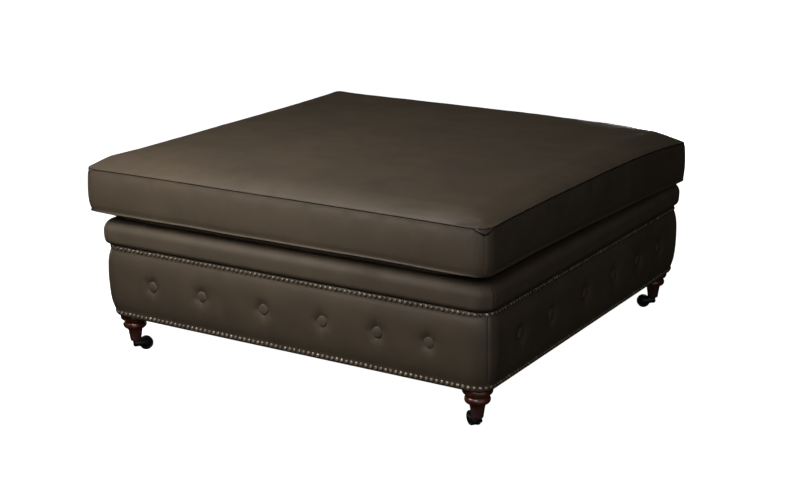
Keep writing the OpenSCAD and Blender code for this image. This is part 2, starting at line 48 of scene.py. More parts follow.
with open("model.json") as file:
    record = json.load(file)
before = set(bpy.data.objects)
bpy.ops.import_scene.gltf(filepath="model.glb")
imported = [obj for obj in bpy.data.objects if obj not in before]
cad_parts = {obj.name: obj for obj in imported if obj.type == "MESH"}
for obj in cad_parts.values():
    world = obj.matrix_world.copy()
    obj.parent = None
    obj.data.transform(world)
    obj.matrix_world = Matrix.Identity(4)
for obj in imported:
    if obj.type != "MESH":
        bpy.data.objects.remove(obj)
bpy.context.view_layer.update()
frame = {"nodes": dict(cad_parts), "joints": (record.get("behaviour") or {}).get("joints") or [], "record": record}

MM = 0.001
SIDES = ("front", "right", "back", "left")
CORNERS = ("front_right", "back_right", "back_left", "front_left")
JOINTS = {joint["name"]: joint for joint in frame["joints"]}
CUSHION_LOW, CUSHION_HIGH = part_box("cushion_cover")
PANEL_LOW, PANEL_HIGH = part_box("tufted_panel_front")
ROLL_LOW, ROLL_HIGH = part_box("roll_cover")
DECK_LOW, DECK_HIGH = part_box("deck_cloth")
DUST_LOW, DUST_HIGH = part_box("dust_cover")
BUTTON_LOW, BUTTON_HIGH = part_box("button_row_front")
ZIP_LOW, ZIP_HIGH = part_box("zip_tape")
SLIDER_LOW, SLIDER_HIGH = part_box("zip_slider")
LEG_LOW, LEG_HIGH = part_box("leg_front_right")
HORN_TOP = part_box("castor_horn_front_right")[1].z
WHEEL_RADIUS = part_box("castor_wheel_front_right")[1].z / 2
SWIVELS = {name: JOINTS[f"castor_swivel_{name}"]["pos_m"] for name in CORNERS}
LEG_AXIS = SWIVELS["front_right"][0]
BUTTON_Z = (BUTTON_LOW.z + BUTTON_HIGH.z) / 2
ZIP_Z = (ZIP_LOW.z + ZIP_HIGH.z) / 2

# Buttons as shares of the straight run between the corners, left to right on each side
BUTTON_SHARES = (-0.39, -0.236, -0.051, 0.117, 0.267, 0.403)

# Each soft box: its place and width in metres, and its power in watts. The two behind stand lower than
# the seat, so that they light only the back and left sides.
SOFT_BOXES = {
    "low_left": ((-1.2, -2.0, 1.8), 0.8, 4.4),
    "low_right": ((0.9, -2.4, 2.0), 1.0, 14.8),
    "front": ((0.5, -2.2, 1.1), 0.8, 3.0),
    "far_right": ((2.6, -2.2, 1.2), 3.6, 20.0),
    "overhead": ((-0.3, -0.3, 2.0), 1.0, 9.4),
    "near_top": ((-0.4, -0.95, 1.0), 0.4, 8.6),
    "near_mid": ((0.0, -1.0, 0.8), 0.4, 1.26),
    "behind": ((-0.3, 2.4, 0.2), 0.5, 7.0),
    "behind_left": ((-2.4, 0.4, 0.2), 0.5, 5.0),
}
LIGHT_AIM = (0, -0.1, 0.25)

# Half the width of the floor in metres
FLOOR_REACH = 14.0


def length(name, millimetres, about):
    """A length in the panel, given here in millimetres."""
    return FloatProperty(name=name, description=about, default=millimetres * MM, unit="LENGTH")


def angle(name, degrees, about):
    """An angle in the panel, given here in degrees."""
    return FloatProperty(name=name, description=about, default=math.radians(degrees), subtype="ANGLE")


def tint(name, colour, about):
    """A colour in the panel."""
    return FloatVectorProperty(name=name, description=about, default=colour, min=0, max=1, subtype="COLOR")


class PoufCushion(bpy.types.PropertyGroup):
    """Sizes of the boxed seat cushion"""
    shift: FloatVectorProperty(name="Shift", description="How far the loose cushion lies off the middle",
                               size=2, default=(-9 * MM, -2.2 * MM), subtype="XYZ", unit="LENGTH")
    corner: length("Corner radius", 27, "Radius of the upright corners")
    crown_top: length("Top crown", 23, "Rise of the top panel above its seam")
    crown_bottom: length("Bottom crown", 21, "Fall of the bottom panel below its seam")
    edge_roll: length("Edge roll", 75, "Width of the rolled edge inside each seam")
    droop: length("Corner droop", 22, "How far the back right corner droops over the roll")
    draw: length("Side draw", 4, "How far the sides draw in between the corners")
    swell: length("Boxing swell", 2.2, "How far the boxing swells between its seams")
    lip: length("Seam lip", 1.5, "How far the bottom seam stands out as a lip")
    folds: length("Folds", 1.8, "The most that the leather's folds stand up or down")
    pleat: length("Corner pleat", 12, "Depth of the tucked pleat at each top corner")
    pleat_reach: length("Pleat reach", 21, "Half width of the tucked pleats")


class PoufBase(bpy.types.PropertyGroup):
    """Sizes of the upholstered base"""
    corner: length("Corner radius", 35, "Radius of the leather round the corners")
    edge_low: length("Bottom padding", 3.5, "How far the padding pushes out the bottom edge")
    edge_high: length("Top padding", 6, "How far the padding pushes out the top edge")
    swell: length("Swell", 7, "Swell of the panels between their edges")
    corner_swell: length("Corner swell", 3.5, "Further swell of the panels at the corners")
    margin_low: length("Bottom margin", 14, "Flat margin of leather at the bottom edge")
    margin_high: length("Top margin", 11, "Flat margin of leather at the top edge")
    tuft_depth: length("Tuft depth", 8, "Depth that each button pulls the leather")
    tuft_reach: length("Tuft reach", 19, "Reach of each button's dimple")
    fold: length("Fold depth", 1.8, "Depth of the upright folds at each button")
    button: length("Button diameter", 25.4, "Diameter of the covered buttons")
    nail_pitch: length("Nail spacing", 11.7, "Spacing of the nails along each row")
    nail_head: length("Nail head", 9, "Diameter of the nail heads")
    nail_dome: length("Nail dome", 2.6, "Height of the nail heads")
    nail_drop: length("Upper nail line", 5, "Upper nails below the roll")
    nail_rise: length("Lower nail line", 8, "Lower nails above the bottom edge")
    roll_corner: length("Roll corner", 36, "Radius of the roll's mitred corners")
    roll_fold: length("Roll fold", 14, "From the roll's corners to the folds past them")
    seam_past: length("Seam past corner", 11, "From the corners to the seams past them")


class PoufFinish(bpy.types.PropertyGroup):
    """Colours of the pouf"""
    leather: tint("Leather", (0.071, 0.0525, 0.0345), "Colour of the hide")
    thread: tint("Thread", (0.20, 0.165, 0.12), "Colour of the stitching")
    wood: tint("Wood", (0.070, 0.0145, 0.009), "Colour of the stained legs")
    brass: tint("Brass", (0.66, 0.57, 0.45), "Colour of the nails where they are rubbed")
    black: tint("Black", (0.005, 0.005, 0.0055), "Colour of the castors")


class PoufStage(bpy.types.PropertyGroup):
    """Camera and light"""
    azimuth: angle("Azimuth", 31.94, "Turn of the view from the front, to the right")
    elevation: angle("Elevation", 16.31, "Height of the view over the horizon")
    roll: angle("Roll", -0.47, "Lean of the picture")
    distance: length("Distance", 3570, "From the camera to its target")
    target: FloatVectorProperty(name="Target", description="The point that the camera looks at",
                                default=(-0.0335, 0.0336, 0.1833), subtype="XYZ", unit="LENGTH")
    focal_px: FloatProperty(name="Focal length", description="Focal length in pixels of the picture",
                            default=1521.2)
    picture_px: IntProperty(name="Picture width", description="Width of the picture in pixels", default=798)
    light: FloatProperty(name="Light", description="Strength of all the soft boxes", default=1.0)
    sky: FloatProperty(name="Surroundings", description="Strength of the even light all round", default=0.01)
    floor: FloatProperty(name="Floor glow", description="Light that the white floor gives off", default=1.0)


# Shapes

def bell(distance, width):
    """A smooth bump of height 1 that fades over a width."""
    return np.exp(-(np.asarray(distance) / width) ** 2)


def ripple(points, size, seed=0.0):
    """Smooth noise from -1 to 1 at each point, with waves of about the given size."""
    shift = Vector((seed, 1.7 * seed, -0.6 * seed))
    return np.array([noise.noise(Vector(p) / size + shift) for p in np.asarray(points)])


def quarter(points, q):
    """Points turned by q quarter turns about the pouf's middle."""
    found = np.array(points, float)
    for _ in range(q % 4):
        found = np.concatenate([-found[..., 1:2], found[..., 0:1], found[..., 2:]], axis=-1)
    return found


def spaced(whole, step, fine):
    """Places from 0 to a length: close together at both ends, a step apart between."""
    fine = np.asarray(fine)
    count = max(2, round((whole - 2 * fine[-1]) / step))
    middle = np.linspace(fine[-1], whole - fine[-1], count + 1)
    return np.concatenate([fine[:-1], middle, whole - fine[:-1][::-1]])


def strip_faces(rows, columns, around=False, start=0):
    """Quads of a sheet of points that is stored row by row."""
    last = columns if around else columns - 1
    return [(start + r * columns + c, start + r * columns + (c + 1) % columns,
             start + (r + 1) * columns + (c + 1) % columns, start + (r + 1) * columns + c)
            for r in range(rows - 1) for c in range(last)]


def tube_faces(rows, columns):
    """Quads of a sheet that closes both ways: its last row meets the first."""
    last = (rows - 1) * columns
    return strip_faces(rows, columns, True) + [(last + c, last + (c + 1) % columns, (c + 1) % columns, c)
                                               for c in range(columns)]


def side_run(half, radius, along):
    """The front side of a rounded square, from one corner's middle to the next: points and turns."""
    arc = radius * math.pi / 4
    straight = 2 * (half - radius)
    turn = (np.clip(along - arc - straight, 0, arc) - np.clip(arc - along, 0, arc)) / max(radius, 1e-9)
    x = np.clip(along - arc, 0, straight) - straight / 2 + radius * np.sin(turn)
    return np.stack([x, -(half - radius) - radius * np.cos(turn)], axis=1), turn


def side_length(half, radius):
    """Length of one side of a rounded square, from one corner's middle to the next."""
    return 2 * (half - radius) + radius * math.pi / 2


def rings(profile, count):
    """Points round the upright axis, one ring for each radius and height of a profile."""
    turns = 2 * math.pi * np.arange(count) / count
    return np.array([(r * math.cos(a), r * math.sin(a), z) for r, z in profile for a in turns])


def lathe(profile, count):
    """Points and faces of a turned solid. The profile is radius and height, from axis to axis."""
    low, high = profile[0][1], profile[-1][1]
    points = np.concatenate([[(0, 0, low)], rings(profile[1:-1], count), [(0, 0, high)]])
    top = len(points) - 1
    last = top - count
    faces = [(0, 1 + (i + 1) % count, 1 + i) for i in range(count)]
    faces += strip_faces(len(profile) - 2, count, True, 1)
    faces += [(top, last + i, last + (i + 1) % count) for i in range(count)]
    return points, faces


def arc_points(x, y, radius, start, end, count):
    """Points of an arc, from one angle in degrees to another."""
    turns = np.radians(np.linspace(start, end, count + 1))
    return [(x + radius * math.cos(a), y + radius * math.sin(a)) for a in turns]


def plate(outline, low, high, ease):
    """A flat piece of the given outline with eased edges, from one height to another. In millimetres."""
    outline = np.asarray(outline, float)
    away = outline - outline.mean(axis=0)
    small = outline - away * (ease / np.linalg.norm(away, axis=1, keepdims=True))
    layers = ((small, low), (outline, low + ease), (outline, high - ease), (small, high))
    count = len(outline)
    points = np.concatenate([np.column_stack([line, np.full(count, z)]) for line, z in layers])
    faces = strip_faces(4, count, True) + [tuple(reversed(range(count))), tuple(range(3 * count, 4 * count))]
    return points * MM, faces


def rounded_box(wide, long, corner):
    """Outline of a rectangle about the origin with rounded corners."""
    x, y = wide / 2 - corner, long / 2 - corner
    return (arc_points(x, y, corner, 0, 90, 4) + arc_points(-x, y, corner, 90, 180, 4)
            + arc_points(-x, -y, corner, 180, 270, 4) + arc_points(x, -y, corner, 270, 360, 4))


def move(x, y, z):
    """A shift as a matrix."""
    return Matrix.Translation((x, y, z))


def spin(turn, axis):
    """A turn about an axis as a matrix."""
    return Matrix.Rotation(turn, 4, axis)


def gather(parts):
    """Several meshes as one: its points and faces."""
    points, faces, start = [], [], 0
    for part_points, part_faces in parts:
        points.append(np.asarray(part_points, float))
        faces += [tuple(start + i for i in face) for face in part_faces]
        start += len(part_points)
    return np.concatenate(points), faces


def placed(part, matrix):
    """A mesh with its points moved by a matrix."""
    points, faces = part
    m = np.array(matrix)
    return points @ m[:3, :3].T + m[:3, 3], faces


def turned(part, q):
    """A mesh made for the front, turned by q quarter turns to another side."""
    points, faces = part
    return quarter(points, q), faces


def stitches(path, away, pitch=4.2 * MM, long=2.8 * MM, thick=0.7 * MM):
    """Short threads lying end to end along a path. Away is the direction that they stand out in."""
    path = np.asarray(path, float)
    run = np.concatenate([[0], np.cumsum(np.linalg.norm(np.diff(path, axis=0), axis=1))])
    profile = [(0, -0.5), (0.3, -0.46), (0.5, -0.34), (0.5, 0.34), (0.3, 0.46), (0, 0.5)]
    shape = lathe(np.array(profile) * (thick, long), 8)
    parts = []
    for i in range(int(run[-1] / pitch)):
        start, middle, end = [Vector([np.interp((i + share) * pitch, run, path[:, k]) for k in range(3)])
                              for share in (0.3, 0.5, 0.7)]
        turn = (end - start).to_track_quat("Z", "Y").to_matrix().to_4x4()
        parts.append(placed(shape, Matrix.Translation(middle + Vector(away) * 0.15 * MM) @ turn))
    return gather(parts)


def make_piece(name, part, finished, body, slot, replaces=(), valley=None, **marks):
    """A new piece of the pouf. Marks are values at its points, which its finish reads.

    Valley gives each point's share in a closed seam, whose faces get a black finish without gloss: painted shade
    in the seam's groove."""
    points, faces = part
    mesh = bpy.data.meshes.new(name)
    mesh.from_pydata([tuple(p) for p in points], [], faces)
    mesh.polygons.foreach_set("use_smooth", [True] * len(mesh.polygons))
    for mark, values in marks.items():
        layer = mesh.attributes.new(mark, "FLOAT", "POINT")
        layer.data.foreach_set("value", np.asarray(values, np.float32))
    mesh.materials.append(finish(finished))
    if valley is not None:
        mesh.materials.append(finish("dark_seam"))
        closed = [int(np.mean(valley[list(face)]) > 0.5) for face in faces]
        mesh.polygons.foreach_set("material_index", closed)
    mesh.update()
    piece = bpy.data.objects.new(name, mesh)
    bpy.context.scene.collection.objects.link(piece)
    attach(piece, body)
    if replaces:
        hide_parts(*replaces)
    return piece


# Finishes

class Graph:
    """Writes shader nodes into one tree. Most calls give the socket that holds their result."""

    def __init__(self, tree):
        self.tree = tree

    def add(self, kind, inputs=(), **settings):
        """A node with its settings, and its inputs set or linked."""
        made = self.tree.nodes.new(kind)
        for key, value in settings.items():
            setattr(made, key, value)
        for key, value in dict(inputs).items():
            if isinstance(value, bpy.types.NodeSocket):
                self.tree.links.new(value, made.inputs[key])
            else:
                made.inputs[key].default_value = value
        return made

    def reckon(self, operation, a, b=0.0):
        return self.add("ShaderNodeMath", {0: a, 1: b}, operation=operation).outputs[0]

    def plus(self, a, b):
        return self.reckon("ADD", a, b)

    def times(self, a, b):
        return self.reckon("MULTIPLY", a, b)

    def vector(self, operation, a, b):
        return self.add("ShaderNodeVectorMath", {0: a, 1: b}, operation=operation).outputs[0]

    def scaled(self, colour, factor):
        return self.add("ShaderNodeVectorMath", {0: colour, "Scale": factor}, operation="SCALE").outputs[0]

    def blend(self, share, a, b):
        return self.add("ShaderNodeMix", {0: share, 6: a, 7: b}, data_type="RGBA").outputs[2]

    def spread(self, value, low, high, new_low, new_high):
        """A value moved from one range to another, and kept inside it."""
        ends = {"From Min": low, "From Max": high, "To Min": new_low, "To Max": new_high}
        return self.add("ShaderNodeMapRange", {"Value": value, **ends}).outputs["Result"]

    def clouds(self, place, size, detail, output="Fac", **more):
        inputs = {"Vector": place, "Scale": size, "Detail": detail, **more}
        return self.add("ShaderNodeTexNoise", inputs).outputs[output]

    def cells(self, place, size, wide):
        """Cells that are 1 inside and fall to 0 over a width along their edges."""
        made = self.add("ShaderNodeTexVoronoi", {"Vector": place, "Scale": size}, feature="DISTANCE_TO_EDGE")
        return self.spread(made.outputs["Distance"], 0.0, wide, 0.0, 1.0)

    def mark(self, name):
        """A value that a mesh carries at its points."""
        return self.add("ShaderNodeAttribute", attribute_name=name).outputs["Fac"]


def hide(graph, given):
    """Grained hide: pebbles, fine creases, soft clouding, darker seams with painted shade, and lighter rubbed
    edges with a painted highlight.
    """
    place = given["Vector"]
    wander = graph.clouds(place, 210.0, 2.0, "Color")
    bent = graph.scaled(graph.vector("SUBTRACT", wander, (0.5, 0.5, 0.5)), 0.0014)
    moved = graph.vector("ADD", place, bent)
    pebble = graph.cells(moved, given["Pebble"], 0.16)
    crease = graph.cells(moved, 120.0, 0.06)
    grain = graph.plus(graph.times(pebble, 0.55), graph.times(crease, 0.3))
    height = graph.plus(grain, graph.times(graph.clouds(place, 1500.0, 2.0), 0.25))
    broad = graph.times(graph.clouds(place, 4.5, 4.0, Roughness=0.6), 0.65)
    patchy = graph.times(graph.clouds(place, 17.0, 3.0), 0.35)
    tone = graph.spread(graph.plus(broad, patchy), 0.3, 0.7, -0.5, 0.5)
    shade = graph.plus(graph.times(tone, graph.times(given["Clouding"], 0.5)), 1.0)
    pores = graph.plus(graph.times(pebble, 0.22), 0.82)
    toned = graph.scaled(given["Colour"], graph.times(shade, pores))
    # Lighter along the rub mark: rubbed leather, with a painted highlight on the cushion's bottom lip.
    rubbed_and_painted_light = graph.blend(graph.times(given["Rub"], 0.5), toned, (0.17, 0.14, 0.105, 1))
    # Near black along the seam mark: the dark of the joins, with painted shade in grooves, creases and behind the
    # buttons.
    darkened_seams_and_shade = graph.blend(graph.times(given["Seam"], 0.85), rubbed_and_painted_light, (0.006, 0.005, 0.004, 1))
    rough = graph.plus(graph.times(tone, -0.16), given["Matt"])
    return darkened_seams_and_shade, graph.plus(rough, graph.times(given["Seam"], 0.5)), height


def weave(graph, given):
    """Plain woven cloth: threads over and under, with a little uneven yarn."""
    axes = graph.add("ShaderNodeSeparateXYZ", {0: given["Vector"]}).outputs
    over = graph.times(*[graph.reckon("SINE", graph.times(axes[axis], given["Threads"])) for axis in "XY"])
    yarn = graph.clouds(given["Vector"], 260.0, 3.0)
    height = graph.plus(graph.spread(over, -1.0, 1.0, 0.0, 1.0), graph.times(yarn, 0.4))
    dark = graph.spread(height, 0.0, 1.3, given["Gap"], 1.25)
    return graph.scaled(given["Colour"], dark), graph.spread(yarn, 0.2, 0.8, 0.75, 0.95), height


def timber(graph, given):
    """Timber: long grain along one axis, with pores and slow changes of tone."""
    long = graph.vector("MULTIPLY", given["Vector"], given["Stretch"])
    figure = graph.clouds(long, 1.0, 5.0, Distortion=0.8)
    pores = graph.clouds(long, 14.0, 2.0)
    grain = graph.plus(graph.times(figure, 0.7), graph.times(pores, 0.3))
    toned = graph.blend(graph.spread(grain, 0.38, 0.62, 0.0, 1.0), given["Dark"], given["Light"])
    return toned, graph.spread(grain, 0.3, 0.7, 0.3, 0.2), pores


def handling(graph, given):
    """Uneven surface: smudges and small scratches that change tone and gloss."""
    smudge = graph.clouds(given["Vector"], given["Size"], 4.0)
    toned = graph.scaled(given["Colour"], graph.spread(smudge, 0.3, 0.7, 0.75, 1.2))
    rough = graph.spread(smudge, 0.3, 0.7, given["Low"], given["High"])
    return toned, rough, graph.clouds(given["Vector"], 1400.0, 2.0)


# Each shader group: what fills it, and its inputs besides the place
EFFECTS = {
    "Hide": (hide, {"Colour": (0.07, 0.055, 0.04, 1), "Pebble": 620.0, "Clouding": 1.0, "Seam": 0.0,
                    "Rub": 0.0, "Matt": 0.46}),
    "Weave": (weave, {"Colour": (0.01, 0.01, 0.011, 1), "Threads": 900.0, "Gap": 0.5}),
    "Timber": (timber, {"Stretch": (40.0, 40.0, 5.0), "Light": (0.5, 0.4, 0.3, 1),
                        "Dark": (0.3, 0.2, 0.1, 1)}),
    "Handling": (handling, {"Colour": (0.5, 0.5, 0.5, 1), "Size": 90.0, "Low": 0.3, "High": 0.5}),
}
COLOUR, VALUE, VECTOR = "NodeSocketColor", "NodeSocketFloat", "NodeSocketVector"


def effect(name):
    """A shader group that turns a place into a colour, a roughness and a height. It is made once."""
    if name in bpy.data.node_groups:
        return bpy.data.node_groups[name]
    fill, inputs = EFFECTS[name]
    tree = bpy.data.node_groups.new(name, "ShaderNodeTree")
    for label, value in {"Vector": (0, 0, 0), **inputs}.items():
        kind = {0: VALUE, 3: VECTOR, 4: COLOUR}[np.size(value) if np.ndim(value) else 0]
        tree.interface.new_socket(name=label, in_out="INPUT", socket_type=kind).default_value = value
    results = {"Colour": COLOUR, "Roughness": VALUE, "Height": VALUE}
    for label, kind in results.items():
        tree.interface.new_socket(name=label, in_out="OUTPUT", socket_type=kind)
    given = tree.nodes.new("NodeGroupInput").outputs
    out = tree.nodes.new("NodeGroupOutput").inputs
    for label, socket in zip(results, fill(Graph(tree), given)):
        tree.links.new(socket, out[label])
    return tree


def stain_with_painted_glow(graph, used, colours):
    """Red stain, with a painted warm glow in the necks between the rings and a duller mauve brown on the shaft."""
    for key, change in (("Light", (1.7, 1.9, 1.6)), ("Dark", (0.55, 0.45, 0.5))):
        used.inputs[key].default_value = (*np.multiply(colours.wood, change), 1)
    toned = used.outputs["Colour"]
    # The neck colour is a painted warm glow; the shaft colour is a duller mauve brown.
    for mark, painted_light_and_tint in (("neck", (0.17, 0.052, 0.012, 1)), ("shaft", (0.052, 0.024, 0.021, 1))):
        toned = graph.blend(graph.mark(mark), toned, painted_light_and_tint)
    return toned


def aged_brass_with_painted_shade(graph, used, colours):
    """Brass rubbed bright on the dome of each nail and dark round its rim, scaled by each nail's tone, which
    darkens the upper rows as painted shade.
    """
    rubbed_and_painted_light = graph.times(graph.spread(graph.mark("dome"), 0.35, 0.7, 0.0, 1.0), graph.mark("tone"))
    return graph.blend(rubbed_and_painted_light, (0.055, 0.036, 0.018, 1), used.outputs["Colour"])


# Each finish: its shader group, the group's inputs, the strength and depth in millimetres of its relief, and
# the plain numbers of its surface. A word among the inputs is one of the panel's colours, or else a mark.
FINISHES = {
    "taupe_hide": ("Hide", {"Colour": "leather", "Seam": "seam", "Rub": "rub"}, 0.35, 0.35,
                   {"Specular IOR Level": 0.5}),
    "worn_hide": ("Hide", {"Colour": "leather", "Seam": "seam", "Rub": "rub", "Matt": 0.68}, 0.35, 0.35,
                  {"Specular IOR Level": 0.3}),
    # Black and without gloss: painted shade in the grooves of seams and creases.
    "dark_seam": ("Hide", {"Colour": (0.012, 0.009, 0.007, 1)}, 0.3, 0.3, {"Specular IOR Level": 0.0}),
    "waxed_thread": ("Weave", {"Colour": "thread", "Threads": 6000.0, "Gap": 0.7}, 0.3, 0.2, {}),
    "lining_cloth": ("Weave", {"Colour": (0.012, 0.012, 0.013, 1), "Threads": 3400.0}, 0.5, 0.2, {}),
    "jute_web": ("Weave", {"Colour": (0.40, 0.28, 0.15, 1), "Threads": 2200.0, "Gap": 0.35}, 0.8, 0.6, {}),
    "polished_mahogany": ("Timber", {"Stretch": (60.0, 60.0, 9.0)}, 0.06, 0.2,
                          {"Coat Weight": 0.6, "Coat Roughness": 0.28}),
    "sawn_hardwood": ("Timber", {"Stretch": (9.0, 9.0, 60.0), "Light": (0.58, 0.41, 0.24, 1),
                                 "Dark": (0.40, 0.25, 0.13, 1)}, 0.2, 0.3, {}),
    "black_enamel": ("Handling", {"Colour": "black", "High": 0.45}, 0.05, 0.1, {"Specular IOR Level": 0.35}),
    "moulded_black": ("Handling", {"Colour": "black", "Low": 0.45, "High": 0.65}, 0.12, 0.1,
                      {"Specular IOR Level": 0.2}),
    "zinc_plate": ("Handling", {"Colour": (0.52, 0.52, 0.53, 1), "Low": 0.25, "High": 0.4}, 0.05, 0.1,
                   {"Metallic": 1.0}),
    "antique_brass": ("Handling", {"Colour": "brass", "Size": 300.0, "Low": 0.22, "High": 0.45}, 0.12, 0.2,
                      {"Metallic": 0.75}),
    "upholstery_foam": ("Handling", {"Colour": (0.72, 0.66, 0.47, 1), "Size": 400.0, "Low": 0.85,
                                     "High": 1.0}, 0.5, 0.6, {}),
}
# Finishes with a further colour step: the legs' painted glow, and the nails' patina with painted shade.
WEAR_AND_PAINTED_LIGHT = {"polished_mahogany": stain_with_painted_glow, "antique_brass": aged_brass_with_painted_shade}


def finish(name):
    """A material from the list of finishes. It is made once."""
    if name in bpy.data.materials:
        return bpy.data.materials[name]
    group, values, strength, depth, surface_values = FINISHES[name]
    colours = bpy.context.scene.pouf_finish
    material = bpy.data.materials.new(name)
    material.use_nodes = True
    graph = Graph(material.node_tree)
    inputs = {"Vector": graph.add("ShaderNodeTexCoord").outputs["Object"]}
    for key, value in values.items():
        if isinstance(value, str):
            value = (*getattr(colours, value), 1) if hasattr(colours, value) else graph.mark(value)
        inputs[key] = value
    used = graph.add("ShaderNodeGroup", inputs, node_tree=effect(group))
    toned = WEAR_AND_PAINTED_LIGHT[name](graph, used, colours) if name in WEAR_AND_PAINTED_LIGHT else used.outputs["Colour"]
    relief = graph.add("ShaderNodeBump", {"Height": used.outputs["Height"], "Strength": strength,
                                          "Distance": depth * MM})
    surface = graph.tree.nodes["Principled BSDF"].inputs
    graph.tree.links.new(toned, surface["Base Color"])
    graph.tree.links.new(used.outputs["Roughness"], surface["Roughness"])
    graph.tree.links.new(relief.outputs["Normal"], surface["Normal"])
    for key, value in surface_values.items():
        surface[key].default_value = value
    return material


# Cushion

# Distances from a seam at which the leather's close rows of points lie
EDGE_STEPS = np.array([0, 0.35, 0.8, 1.6, 2.6, 4, 6, 8.5, 12, 16, 21, 27]) * MM
COARSE_STEP = 14 * MM
COARSE_EDGE_STEPS = np.array([0, 6, 14]) * MM


def draw_in(points, half, radius, draw):
    """Pulls the sides in between the corners."""
    reach = half - radius
    pull = draw / half * (1 - np.minimum(1, np.abs(points[..., ::-1]) / reach) ** 4)
    return points * (1 - pull)


def corner_gap(points, half, radius):
    """Distance of each point from the nearest corner's middle."""
    middle = half - radius + radius / math.sqrt(2)
    return np.hypot(np.abs(points[..., 0]) - middle, np.abs(points[..., 1]) - middle)


def edge_depth(points, half, radius):
    """How far each point lies inside a rounded square."""
    inner = np.abs(points) - (half - radius)
    outside = np.hypot(np.maximum(inner[..., 0], 0), np.maximum(inner[..., 1], 0))
    return radius - outside - np.minimum(np.maximum(inner[..., 0], inner[..., 1]), 0)


def panel_grid(sides):
    """A square sheet of points that meets four side runs, each from corner to corner."""
    low, right, high, left = sides[0], sides[1], sides[2][::-1], sides[3][::-1]
    count = len(low)
    share = (low[:, 0] - low[0, 0]) / (low[-1, 0] - low[0, 0])
    u, v = share[:, None, None], share[None, :, None]
    ruled = (1 - v) * low[:, None] + v * high[:, None] + (1 - u) * left[None] + u * right[None]
    corners = (1 - v) * ((1 - u) * low[0] + u * low[-1]) + v * ((1 - u) * high[0] + u * high[-1])
    return (ruled - corners).reshape(count, count, 2)


